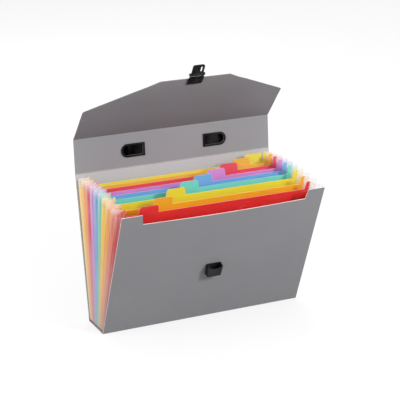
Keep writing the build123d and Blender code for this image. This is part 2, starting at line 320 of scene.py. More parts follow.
@cache
def linen_effect() -> bpy.types.NodeTree:
    """Embossed linen: crossed threads on a flat map, with a sandy speckle.

    Returns:
        Group with inputs Vector and Threads (a metre) and outputs Height and Speckle.
    """
    outputs = ("Height", "Speckle")
    tree, graph, place, threads, result = new_effect("linen_emboss", "Threads", outputs)
    parts = graph.add("ShaderNodeSeparateXYZ", {0: place}).outputs
    wander = graph.part(graph.noise(place, WANDER_WAVES), WANDER_TURN)
    turns = graph.part(threads, 2 * pi)
    waves = []
    for axis in ("X", "Y"):
        angle = graph.sums("ADD", graph.part(parts[axis], turns), wander)
        waves.append(graph.sums("SINE", angle, 0.0))
    weave = graph.part(graph.sums("ADD", *waves), WEAVE_SHARE)
    grit = graph.noise(place, graph.part(threads, GRIT_PER_THREAD))
    graph.feed(result, "Height", graph.sums("ADD", weave, grit))
    graph.feed(result, "Speckle", graph.span(grit, GRIT_SPAN))
    return tree


@cache
def drift_effect() -> bpy.types.NodeTree:
    """Slow drift of a finish from place to place.

    Returns:
        Group with inputs Vector and Scale and output Mask.
    """
    tree, graph, place, waves, result = new_effect("slow_drift", "Scale", ("Mask",))
    cloud = graph.noise(place, waves, DRIFT_OCTAVES)
    graph.feed(result, "Mask", graph.span(cloud, DRIFT_SPAN))
    return tree


@cache
def scuff_effect() -> bpy.types.NodeTree:
    """Fine rub marks, drawn out along the flat map's first axis.

    Returns:
        Group with inputs Vector and Scale and outputs Mask and Height.
    """
    tree, graph, place, waves, result = new_effect("rub_marks", "Scale", ("Mask", "Height"))
    stretch = graph.add("ShaderNodeMapping", {"Vector": place, "Scale": RUB_STRETCH})
    lines = graph.noise(stretch.outputs[0], waves, RUB_OCTAVES)
    patches = graph.noise(place, PATCH_WAVES)
    worn = graph.part(graph.span(lines, RUB_SPAN), graph.span(patches, PATCH_SPAN))
    graph.feed(result, "Mask", worn)
    graph.feed(result, "Height", lines)
    return tree


def drift(graph: Graph, place: Socket, waves: float) -> Socket:
    """Mask of the slow drift over a place."""
    return graph.group(drift_effect(), {"Vector": place, "Scale": waves})["Mask"]


def scuffs(graph: Graph, place: Socket, waves: float) -> Outputs:
    """Mask and Height of the rub marks over a place."""
    return graph.group(scuff_effect(), {"Vector": place, "Scale": waves})


class Finish(Protocol):
    """A finish that can make its material."""

    name: str

    def build(self) -> bpy.types.Material:
        """Make the material."""


@cache
def material_of(finish: Finish) -> bpy.types.Material:
    """Material of a finish, made once."""
    return finish.build()


def new_material(name: str) -> tuple[bpy.types.Material, Graph, Node, Outputs]:
    """Start a material.

    Args:
        name: Name of the material.

    Returns:
        The material, its graph, its shader and its texture coordinates.
    """
    material = bpy.data.materials.new(name)
    material.use_nodes = True
    graph = Graph(material.node_tree)
    shader = material.node_tree.nodes["Principled BSDF"]
    return material, graph, shader, graph.add("ShaderNodeTexCoord").outputs


@dataclass(frozen=True)
class ShellFinish:
    """Grey sheet with an embossed linen face."""

    name: str
    colour: Colour
    shade: Colour
    threads: float = 1500.0
    relief: float = 0.12 * MM
    relief_share: float = 0.35
    # The fold colour, with its share and reach, is painted shade that deepens towards a fold.
    fold: Colour | None = None
    fold_share: float = 0.6
    fold_reach: float = 120 * MM
    drift_waves: float = 7.0
    drift_share: float = 0.55
    speckle_share: float = 0.42
    speckle_depth: float = 0.22
    rub_waves: float = 420.0
    rub_share: float = 0.06
    rub_paleness: float = 0.35
    roughness: Span = (0.46, 0.62)
    shine: float = 0.3

    def build(self) -> bpy.types.Material:
        """Make the material.

        Returns:
            Material that reads the flat map for the linen and for the painted shade that deepens
            near a fold, and Object coordinates for the drift.
        """
        material, graph, shader, place = new_material(self.name)
        flat = place["UV"]
        linen = graph.group(linen_effect(), {"Vector": flat, "Threads": self.threads})
        cloud = drift(graph, place["Object"], self.drift_waves)
        worn = scuffs(graph, flat, self.rub_waves)["Mask"]
        colour = graph.mix(graph.part(cloud, self.drift_share), self.colour, self.shade)
        sand = towards(self.shade, INK, self.speckle_depth)
        colour = graph.mix(graph.part(linen["Speckle"], self.speckle_share), colour, sand)
        rubbed = towards(self.colour, WHITE, self.rub_paleness)
        colour = graph.mix(graph.part(worn, self.rub_share), colour, rubbed)
        # Painted shade: darker towards the fold.
        if self.fold:
            away = graph.add("ShaderNodeSeparateXYZ", {"Vector": flat}).outputs["Y"]
            near = graph.span(away, (0.0, self.fold_reach), (self.fold_share, 0.0))
            colour = graph.mix(near, colour, self.fold)
        graph.feed(shader, "Base Color", colour)
        graph.feed(shader, "Roughness", graph.span(linen["Speckle"], FULL, self.roughness))
        graph.feed(shader, "Specular IOR Level", self.shine)
        graph.bump(shader, linen["Height"], self.relief, self.relief_share)
        return material


@dataclass(frozen=True)
class EdgeFinish:
    """Cut edge or creased line of a sheet, which dulls from place to place."""

    name: str
    colour: Colour
    drift_waves: float = 60.0
    dulling: float = 0.2
    roughness: Span = (0.55, 0.7)

    def build(self) -> bpy.types.Material:
        """Make the material.

        Returns:
            Material on Object coordinates.
        """
        material, graph, shader, place = new_material(self.name)
        cloud = drift(graph, place["Object"], self.drift_waves)
        dulled = towards(self.colour, INK, self.dulling)
        graph.feed(shader, "Base Color", graph.mix(cloud, self.colour, dulled))
        graph.feed(shader, "Roughness", graph.span(cloud, FULL, self.roughness))
        return material


@dataclass(frozen=True)
class DividerFinish:
    """Smooth coloured sheet that lets some light through, with drawing lines and rub marks."""

    name: str
    colour: Colour
    glow: float = 1.0
    glow_depth: float = 2.0 * MM
    drift_waves: float = 11.0
    drift_share: float = 0.6
    deepening: float = 0.1
    rub_waves: float = 300.0
    rub_share: float = 0.25
    rub_paleness: float = 0.45
    relief: float = 0.05 * MM
    relief_share: float = 0.25
    roughness: Span = (0.36, 0.55)
    shine: float = 0.3

    def build(self) -> bpy.types.Material:
        """Make the material.

        Returns:
            Material that reads the flat map for its lines and Object coordinates for the drift.
        """
        material, graph, shader, place = new_material(self.name)
        cloud = drift(graph, place["Object"], self.drift_waves)
        rubs = scuffs(graph, place["UV"], self.rub_waves)
        deep = towards(self.colour, INK, self.deepening)
        colour = graph.mix(graph.part(cloud, self.drift_share), self.colour, deep)
        rubbed = towards(self.colour, WHITE, self.rub_paleness)
        colour = graph.mix(graph.part(rubs["Mask"], self.rub_share), colour, rubbed)
        graph.feed(shader, "Base Color", colour)
        graph.feed(shader, "Roughness", graph.span(rubs["Mask"], FULL, self.roughness))
        graph.feed(shader, "Specular IOR Level", self.shine)
        graph.feed(shader, "Subsurface Weight", self.glow)
        graph.feed(shader, "Subsurface Radius", WHITE)
        graph.feed(shader, "Subsurface Scale", self.glow_depth)
        graph.bump(shader, rubs["Height"], self.relief, self.relief_share)
        return material


@dataclass(frozen=True)
class FilmFinish:
    """Milky tinted film with drawn lines, white where it is creased, and clearer towards its top,
    where it also pales with painted light.
    """

    name: str
    colour: Colour
    opacity: float = 0.9
    clearest: float = 0.15
    # Paleness of the clear top: painted light from above.
    clear_paleness: float = 0.85
    milk_paleness: float = 0.75
    paleness: float = 0.3
    deepening: float = 0.22
    drift_waves: float = 26.0
    drift_share: float = 0.45
    line_waves: float = 9.0
    line_share: float = 0.8
    deep_lines: Span = (0.5, 0.62)
    pale_lines: Span = (0.46, 0.36)
    relief: float = 0.15 * MM
    relief_share: float = 0.3
    rough_lines: Span = (0.3, 0.7)
    roughness: Span = (0.28, 0.5)
    shine: float = 0.3

    def build(self) -> bpy.types.Material:
        """Make the material.

        Returns:
            Material that reads the piece's crease and clear attributes and its flat map.
        """
        material, graph, shader, place = new_material(self.name)
        crease, clear = (
            graph.add("ShaderNodeAttribute", attribute_name=name).outputs["Fac"]
            for name in ("crease", "clear")
        )
        cloud = drift(graph, place["Object"], self.drift_waves)
        quarter = {"Vector": place["UV"], "Rotation": (0.0, 0.0, pi / 2)}
        upright = graph.add("ShaderNodeMapping", quarter).outputs[0]
        lines = scuffs(graph, upright, self.line_waves)["Height"]
        pale, milk, lit_top = (
            towards(self.colour, WHITE, share)
            for share in (self.paleness, self.milk_paleness, self.clear_paleness)
        )
        deep = towards(self.colour, INK, self.deepening)
        most = (0.0, self.line_share)
        colour = graph.mix(graph.part(cloud, self.drift_share), self.colour, pale)
        colour = graph.mix(graph.span(lines, self.deep_lines, most), colour, deep)
        colour = graph.mix(graph.span(lines, self.pale_lines, most), colour, pale)
        # Towards its top the film turns clearer, which is real, and pales to white, which is
        # painted light.
        colour = graph.mix(clear, graph.mix(crease, colour, milk), lit_top)
        graph.feed(shader, "Base Color", colour)
        graph.feed(shader, "Roughness", graph.span(lines, self.rough_lines, self.roughness))
        graph.feed(shader, "Specular IOR Level", self.shine)
        graph.feed(shader, "Alpha", graph.span(clear, FULL, (self.opacity, self.clearest)))
        graph.bump(shader, lines, self.relief, self.relief_share)
        return material


@dataclass(frozen=True)
class MouldedFinish:
    """Moulded plastic with a fine spark-eroded grain."""

    name: str
    colour: Colour
    roughness: Span = (0.24, 0.4)
    shine: float = 0.16
    drift_waves: float = 45.0
    paleness: float = 0.02
    grain_waves: float = 2600.0
    relief: float = 0.05 * MM
    relief_share: float = 0.3

    def build(self) -> bpy.types.Material:
        """Make the material.

        Returns:
            Material on Object coordinates.
        """
        material, graph, shader, place = new_material(self.name)
        cloud = drift(graph, place["Object"], self.drift_waves)
        pale = towards(self.colour, WHITE, self.paleness)
        graph.feed(shader, "Base Color", graph.mix(cloud, self.colour, pale))
        graph.feed(shader, "Roughness", graph.span(cloud, FULL, self.roughness))
        graph.feed(shader, "Specular IOR Level", self.shine)
        grain = graph.noise(place["Object"], self.grain_waves)
        graph.bump(shader, grain, self.relief, self.relief_share)
        return material


@dataclass(frozen=True)
class SteelFinish:
    """Drawn steel of the clasp's pin."""

    name: str = "pin_steel"
    colour: Colour = (0.58, 0.57, 0.55)
    drift_waves: float = 400.0
    dulling: float = 0.15
    roughness: Span = (0.24, 0.4)

    def build(self) -> bpy.types.Material:
        """Make the material.

        Returns:
            Metal on Object coordinates.
        """
        material, graph, shader, place = new_material(self.name)
        cloud = drift(graph, place["Object"], self.drift_waves)
        dulled = towards(self.colour, INK, self.dulling)
        graph.feed(shader, "Base Color", graph.mix(cloud, self.colour, dulled))
        graph.feed(shader, "Roughness", graph.span(cloud, FULL, self.roughness))
        graph.feed(shader, "Metallic", 1.0)
        return material


@dataclass(frozen=True)
class FloorFinish:
    """White studio floor that keeps the case's shadow."""

    name: str = "studio_floor"
    colour: Colour = (0.92, 0.92, 0.92)
    bounce: Colour = (0.21, 0.21, 0.21)
    roughness: float = 0.8
    glow: float = 0.72

    def build(self) -> bpy.types.Material:
        """Make the material.

        Returns:
            White floor, part of it lit evenly for the camera and for gloss.
        """
        material, graph, shader, _ = new_material(self.name)
        seen = graph.seen()
        graph.feed(shader, "Base Color", graph.mix(seen, self.bounce, self.colour))
        graph.feed(shader, "Roughness", self.roughness)
        light = graph.add("ShaderNodeEmission", {"Color": WHITE, "Strength": 1.0}).outputs[0]
        shares = {0: graph.part(seen, self.glow), 1: shader.outputs[0], 2: light}
        both = graph.add("ShaderNodeMixShader", shares).outputs[0]
        graph.feed(material.node_tree.nodes["Material Output"], "Surface", both)
        return material


SHELL = ShellFinish("shell_sheet", srgb(153, 152, 156), srgb(143, 142, 146))
# Painted light and shade: the flap's inside is a copy of the sheet, paler and bluer, with shade
# painted deeper towards its fold.
SHADED_INSIDE = ShellFinish(
    "flap_inside", srgb(159, 158, 164), srgb(149, 148, 154), fold=srgb(116, 110, 112)
)
# Milky lining; its pale tone also paints the brighter light that falls on the back's inside.
LIT_LINING = ShellFinish(
    "back_lining", srgb(192, 191, 195), srgb(182, 181, 186), threads=900.0, relief=0.05 * MM
)
# Painted highlight: cut edges coloured nearly white where they catch the light.
LIT_CUT_EDGE = EdgeFinish("shell_cut_edge", srgb(250, 241, 242))
GREY_EDGE = EdgeFinish("shell_grey_edge", srgb(142, 139, 138))
FOLD_LINE = EdgeFinish("shell_fold_line", srgb(190, 190, 194))
POCKET_FLOOR = MouldedFinish("floor_film", srgb(170, 170, 173), (0.4, 0.55))
BLACK = MouldedFinish("black_moulded", srgb(18, 18, 19), shine=0.08)
# Painted light: a paler copy of the black, for the catch's front wall.
LIT_SATIN = MouldedFinish("black_satin", srgb(40, 40, 42), (0.4, 0.55), 0.1)
# Painted shade: a darker copy of the black, for hollows and the handle's feet.
SHADED_BLACK = MouldedFinish("black_hollow", srgb(6, 6, 7), (0.6, 0.7), 0.0)
PIN = SteelFinish()
FLOOR = FloorFinish()


# Modelling moves


# Least cosines at which a face or an edge counts as lying along a direction
SQUARE = 0.9
DEAD_SQUARE = 0.99
STEEP = 0.6
UP = Vector((0.0, 1.0, 0.0))
FRONTWARDS = Vector((0.0, 0.0, 1.0))
UNIT = (1.0, 1.0, 1.0)
# Depth of a cutting shape, as a multiple of the wall that it goes through
CUT_DEPTH = 4
# Rounds in which a lean settles
LEAN_ROUNDS = 8


@dataclass(frozen=True)
class Rounding:
    """Steps round an eased edge, and the angle in degrees past which an edge is eased."""

    steps: int = 2
    angle: float = 40.0


PLAIN = Rounding()
THIN = Rounding(1)
MOULDED = Rounding(3, 30.0)
TURNED = Rounding(2, 60.0)
PIN_END = Rounding(3, 60.0)
STRAP = Rounding(2, 50.0)
HOUSING = Rounding(4, 50.0)


def anywhere(middle: Vector, way: Vector) -> bool:
    """Test that takes every element."""
    return True


def facing(way: Vector, least: float = SQUARE) -> Where:
    """Test for faces that look along a direction, to a least cosine."""
    return lambda middle, normal: normal.dot(way) > least


def running(axis: Axis, least: float = SQUARE) -> Where:
    """Test for edges that run along an axis, to a least cosine."""
    number = list(Axis).index(axis)
    return lambda middle, way: abs(way[number]) > least


class Bench:
    """Modelling moves on one piece at a time, as by hand."""

    @staticmethod
    def take(piece: Piece) -> None:
        """Make a piece the only selected one, and the active one.

        Args:
            piece: Piece to take.
        """
        bpy.ops.object.select_all(action="DESELECT")
        piece.select_set(True)
        bpy.context.view_layer.objects.active = piece

    @staticmethod
    def settle(piece: Piece) -> None:
        """Put a piece's place, turn and size into its mesh."""
        Bench.take(piece)
        bpy.ops.object.transform_apply(location=True, rotation=True, scale=True)

    @staticmethod
    def started(name: str, size: Sequence[float] = UNIT) -> Piece:
        """Name the primitive that was just added, give it its size and settle it.

        Args:
            name: Name of the piece.
            size: Its size along x, y and z, as a multiple of the primitive's.

        Returns:
            The piece.
        """
        piece = bpy.context.active_object
        piece.name = piece.data.name = name
        piece.scale = size
        Bench.settle(piece)
        return piece

    @staticmethod
    def block(name: str, size: Sequence[float], middle: Sequence[float]) -> Piece:
        """Start a piece from a cube.

        Args:
            name: Name of the piece.
            size: Its width, height and depth.
            middle: Its middle.

        Returns:
            The piece.
        """
        bpy.ops.object.select_all(action="DESELECT")
        bpy.ops.mesh.primitive_cube_add(size=1.0, location=middle)
        return Bench.started(name, size)

    @staticmethod
    def sheet(name: str, low: Span, high: Span, columns: int = 1, rows: int = 1) -> Piece:
        """Start a piece from a flat grid.

        Args:
            name: Name of the piece.
            low: Lower left corner.
            high: Upper right corner.
            columns: Number of columns of faces.
            rows: Number of rows of faces.

        Returns:
            The piece.
        """
        middle = ((low[0] + high[0]) / 2, (low[1] + high[1]) / 2, 0.0)
        bpy.ops.object.select_all(action="DESELECT")
        bpy.ops.mesh.primitive_grid_add(
            x_subdivisions=columns, y_subdivisions=rows, size=1.0, location=middle
        )
        return Bench.started(name, (high[0] - low[0], high[1] - low[1], 1.0))

    @staticmethod
    def rod(
        name: str, radius: float, length: float, middle: Sequence[float], axis: Axis, sides: int
    ) -> Piece:
        """Start a piece from a cylinder.

        Args:
            name: Name of the piece.
            radius: Its radius.
            length: Its length.
            middle: Its middle.
            axis: Axis that it lies along.
            sides: Number of sides.

        Returns:
            The piece.
        """
        bpy.ops.object.select_all(action="DESELECT")
        bpy.ops.mesh.primitive_cylinder_add(
            vertices=sides, radius=radius, depth=length, location=middle, rotation=axis.value
        )
        return Bench.started(name)

    @staticmethod
    @contextmanager
    def editing(piece: Piece) -> Iterator[None]:
        """Open a piece in edit mode with nothing selected, and close it again.

        Args:
            piece: Piece to open.

        Returns:
            Nothing, while the piece is open.
        """
        Bench.take(piece)
        bpy.ops.object.mode_set(mode="EDIT")
        bpy.ops.mesh.select_all(action="DESELECT")
        yield
        bpy.ops.object.mode_set(mode="OBJECT")

    @staticmethod
    def choose(piece: Piece, kind: Pick, where: Where) -> None:
        """Select what passes a test, in edit mode.

        Args:
            piece: Piece that is open in edit mode.
            kind: Points, edges or faces.
            where: Test on an element's middle and its normal, or an edge's direction.
        """
        bpy.ops.mesh.select_mode(type=kind.value)
        bpy.ops.mesh.select_all(action="DESELECT")
        shape = bmesh.from_edit_mesh(piece.data)
        if kind is Pick.POINT:
            found = [(part, part.co, part.normal) for part in shape.verts]
        elif kind is Pick.EDGE:
            ends = [(part, *(point.co for point in part.verts)) for part in shape.edges]
            found = [(part, (a + b) / 2, (b - a).normalized()) for part, a, b in ends]
        else:
            found = [(part, part.calc_center_median(), part.normal) for part in shape.faces]
        for part, middle, way in found:
            if where(middle, way):
                part.select_set(True)
        shape.select_flush_mode()
        bmesh.update_edit_mesh(piece.data)

    @staticmethod
    def score(
        point: Sequence[float], normal: Sequence[float], drop: bool = False, fill: bool = False
    ) -> None:
        """Cut a line across the open piece, and drop what lies beyond it if asked.

        Args:
            point: Point on the line.
            normal: Direction across the line, towards what is dropped.
            drop: Whether to drop what lies beyond.
            fill: Whether to close the cut.
        """
        bpy.ops.mesh.select_all(action="SELECT")
        bpy.ops.mesh.bisect(plane_co=point, plane_no=normal, clear_outer=drop, use_fill=fill)
        bpy.ops.mesh.select_all(action="DESELECT")

    @staticmethod
    def pull(shift: Sequence[float]) -> None:
        """Extrude the selection."""
        bpy.ops.mesh.extrude_region_move(TRANSFORM_OT_translate={"value": shift})

    @staticmethod
    def swell(shift: Sequence[float], reach: float, falloff: str = "SMOOTH") -> None:
        """Move the selection and, less and less as far as a reach, what lies round it.

        Args:
            shift: Shift of the selection.
            reach: Distance at which nothing moves any more.
            falloff: Blender's name of the falloff.
        """
        bpy.ops.transform.translate(
            value=shift,
            use_proportional_edit=True,
            proportional_edit_falloff=falloff,
            proportional_size=reach,
        )

    @staticmethod
    def round_points(radius: float, steps: int = 5) -> None:
        """Round the selected corners of a flat sheet."""
        bpy.ops.mesh.bevel(offset=radius, offset_type="OFFSET", segments=steps, affect="VERTICES")

    @staticmethod
    def round_edges(radius: float, steps: int = 4) -> None:
        """Round the selected edges."""
        bpy.ops.mesh.bevel(offset=radius, offset_type="OFFSET", segments=steps, affect="EDGES")

    @staticmethod
    def face_outwards() -> None:
        """Turn the open piece's faces outwards."""
        bpy.ops.mesh.select_all(action="SELECT")
        bpy.ops.mesh.normals_make_consistent(inside=False)

    @staticmethod
    def finish(piece: Piece, kind: str, **settings: Any) -> None:
        """Add a modifier and apply it.

        Args:
            piece: Piece that gets it.
            kind: Blender's name of the modifier type.
            **settings: Properties of the modifier.
        """
        Bench.take(piece)
        modifier = piece.modifiers.new(kind.lower(), kind)
        for name, value in settings.items():
            setattr(modifier, name, value)
        bpy.ops.object.modifier_apply(modifier=modifier.name)

    @staticmethod
    def thicken(piece: Piece, thickness: float, face: Finish, rim: Finish) -> None:
        """Dress a sheet's faces and cut edges, and give it its thickness."""
        Bench.dress(piece, face, rim)
        Bench.finish(piece, "SOLIDIFY", thickness=thickness, offset=0.0, material_offset_rim=1)

    @staticmethod
    def ease(piece: Piece, width: float, rounding: Rounding = PLAIN, slot: int = -1) -> None:
        """Take the sharpness off a piece's edges.

        Args:
            piece: Piece to ease.
            width: Width of the rounding.
            rounding: Its steps, and which edges it takes.
            slot: Material slot of the rounding, or -1 for that of the faces beside it.
        """
        limit = {"limit_method": "ANGLE", "angle_limit": radians(rounding.angle)}
        Bench.finish(piece, "BEVEL", width=width, segments=rounding.steps, material=slot, **limit)

    @staticmethod
    def cut(piece: Piece, tool: Piece) -> None:
        """Cut a tool's shape out of a piece and put the tool away."""
        Bench.finish(piece, "BOOLEAN", operation="DIFFERENCE", object=tool, solver="EXACT")
        bpy.data.objects.remove(tool)

    @staticmethod
    def add(piece: Piece, other: Piece) -> None:
        """Weld another shape to a piece and put the other away."""
        Bench.finish(piece, "BOOLEAN", operation="UNION", object=other, solver="EXACT")
        bpy.data.objects.remove(other)

    @staticmethod
    def flat_map(piece: Piece) -> None:
        """Lay out a flat map in metres from a piece's x and y, while it lies flat.

        Args:
            piece: Piece on the bench.
        """
        layer = piece.data.uv_layers.active or piece.data.uv_layers.new(name="flat")
        for loop in piece.data.loops:
            layer.data[loop.index].uv = piece.data.vertices[loop.vertex_index].co.xy

    @staticmethod
    def smooth(piece: Piece, angle: float = 35.0) -> None:
        """Shade a piece smooth across edges that turn by less than an angle."""
        Bench.take(piece)
        bpy.ops.object.shade_smooth_by_angle(angle=radians(angle))

    @staticmethod
    def place(piece: Piece, matrix: Matrix) -> None:
        """Move a piece from the bench to its place."""
        piece.matrix_world = matrix
        Bench.settle(piece)

    @staticmethod
    def mirrored(piece: Piece, name: str) -> Piece:
        """Copy a piece to the other side of the case.

        Args:
            piece: Piece on one side.
            name: Name of the copy.

        Returns:
            The copy, with its own mesh.
        """
        Bench.take(piece)
        bpy.ops.object.duplicate(linked=False)
        copy = Bench.started(name, (-1.0, 1.0, 1.0))
        with Bench.editing(copy):
            Bench.face_outwards()
        return copy

    @staticmethod
    def paint(piece: Piece, slot: int, top: float | None = None) -> None:
        """Give the selected faces a material slot, in edit mode.

        Args:
            piece: Piece that is open in edit mode.
            slot: Number of the slot.
            top: Height that the faces' middles stay below, if any.
        """
        shape = bmesh.from_edit_mesh(piece.data)
        for part in shape.faces:
            if part.select and (top is None or part.calc_center_median().y < top):
                part.material_index = slot
        bmesh.update_edit_mesh(piece.data)

    @staticmethod
    def dress(piece: Piece, *finishes: Finish) -> None:
        """Give a piece its finishes and keep its faces' slots.

        Args:
            piece: Piece to dress.
            *finishes: One finish for each material slot.
        """
        slots = piece.data.materials
        for number, finish in enumerate(finishes):
            if number < len(slots):
                slots[number] = material_of(finish)
            else:
                slots.append(material_of(finish))

    @staticmethod
    def hand_over(piece: Piece, body: str, slot: str, *nodes: str) -> Piece:
        """Let a finished piece ride on a body and stand for its CAD nodes.

        Args:
            piece: Piece in its place.
            body: Body that it moves with.
            slot: Material slot of the record; not used.
            *nodes: CAD nodes that it replaces.

        Returns:
            The piece.
        """
        if nodes:
            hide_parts(*nodes)
        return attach(piece, body)


# The frame that the pieces stand in


JOINTS = {joint["name"]: joint for joint in frame["joints"]}
RATIOS = {row["joint"]: row["ratio"] for row in frame["record"]["behaviour"]["couplings"]}


def joint_place(name: str) -> Vector:
    """Place of a joint's axis."""
    return Vector(JOINTS[name]["pos_m"])


def closing_turn(name: str) -> float:
    """Turn of a fold about +X, in degrees, when the lid shuts."""
    return RATIOS[name] * JOINTS["lid_fold"]["range_deg"][1] * JOINTS[name]["axis"][0]


def lean_of_box(node: str, fold: Vector, half: float) -> float:
    """Lean of a flat sheet, from the box of its node.

    Args:
        node: Name of the sheet's node.
        fold: Place of the fold that it stands on.
        half: Half its thickness.

    Returns:
        Lean from upright, forwards positive, in degrees.
    """
    low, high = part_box(node)
    lean = 0.0
    for _ in range(LEAN_ROUNDS):
        lean = atan2(fold.y - low.y - half * cos(lean), high.z - fold.z - half * sin(lean))
    return degrees(lean)


def lean_between(fold: Vector, next_fold: Vector) -> float:
    """Lean of a sheet between two folds, in degrees."""
    return degrees(atan2(fold.y - next_fold.y, next_fold.z - fold.z))


def fading(distance: float, reach: float) -> float:
    """Share that falls from 1 at no distance to 0 at a reach."""
    return max(0.0, 1 - distance / reach)


@dataclass(frozen=True)
class Leaf:
    """A leaning sheet: the bench's x stays, its y goes up the sheet and its z to the front."""

    body: str
    fold: Vector
    lean: float
    half: float
    turn: float = 0.0

    def matrix(self, offset: float = 0.0) -> Matrix:
        """Matrix from the bench to the sheet.

        Args:
            offset: Distance in front of the sheet's middle.

        Returns:
            The matrix.
        """
        c, s = cos(radians(self.lean)), sin(radians(self.lean))
        x, y, z = self.fold + offset * Vector((0.0, -c, -s))
        return Matrix(((1, 0, 0, x), (0, -s, -c, y), (0, c, -s, z), (0, 0, 0, 1)))

    def face_y(self, height: float, behind: int, room: float) -> float:
        """Y of a face of the sheet at a height.

        Args:
            height: Height above the table.
            behind: 1 for the back face and -1 for the front face.
            room: Distance off the face.

        Returns:
            The y.
        """
        angle = radians(self.lean)
        middle = self.fold.y - (height - self.fold.z) * sin(angle) / cos(angle)
        return middle + behind * (self.half + room) / cos(angle)

    def height_at(self, distance: float) -> float:
        """Height above the table of a point up the sheet."""
        return self.fold.z + distance * cos(radians(self.lean))


@dataclass
class CaseFrame:
    """The leaves of the case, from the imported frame."""

    sheet: float = field(init=False)
    front: Leaf = field(init=False)
    back: Leaf = field(init=False)
    handle: Leaf = field(init=False)
    flap: Leaf = field(init=False)
    dividers: list[Leaf] = field(init=False)
    divider_sheet: float = 0.5 * MM
    slack: tuple[float, ...] = (-0.6, -0.5, -1.5, -1.5, -1.0, -0.5, -0.4, 0.0, 0.0)

    def __post_init__(self) -> None:
        """Work the leaves out from the joints and the nodes' boxes."""
        low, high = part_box("bottom_panel")
        self.sheet = high.z - low.z
        half = self.sheet / 2
        folds = ("front_fold", "back_fold", "lid_fold", "flap_fold")
        front, back, lid, flap = (joint_place(name) for name in folds)
        front_lean = lean_of_box("front_panel", front, half)
        back_lean = lean_between(back, lid)
        self.front = Leaf("front", front, front_lean, half, closing_turn("front_fold"))
        self.back = Leaf("back", back, back_lean, half, closing_turn("back_fold"))
        self.handle = Leaf("lid", lid, lean_between(lid, flap), half)
        self.flap = Leaf("flap", flap, lean_of_box("closing_flap", flap, half), half)
        self.dividers = []
        for number, slack in enumerate(self.slack, 1):
            name = f"divider_{number}_fold"
            lean = front_lean + (back_lean - front_lean) * number / (len(self.slack) + 1) + slack
            turn = closing_turn(name)
            leaf = Leaf(f"divider_{number}", joint_place(name), lean, self.divider_sheet / 2, turn)
            self.dividers.append(leaf)

    @property
    def fan(self) -> list[Leaf]:
        """The front, the dividers and the back, in order."""
        return [self.front, *self.dividers, self.back]


# The shell


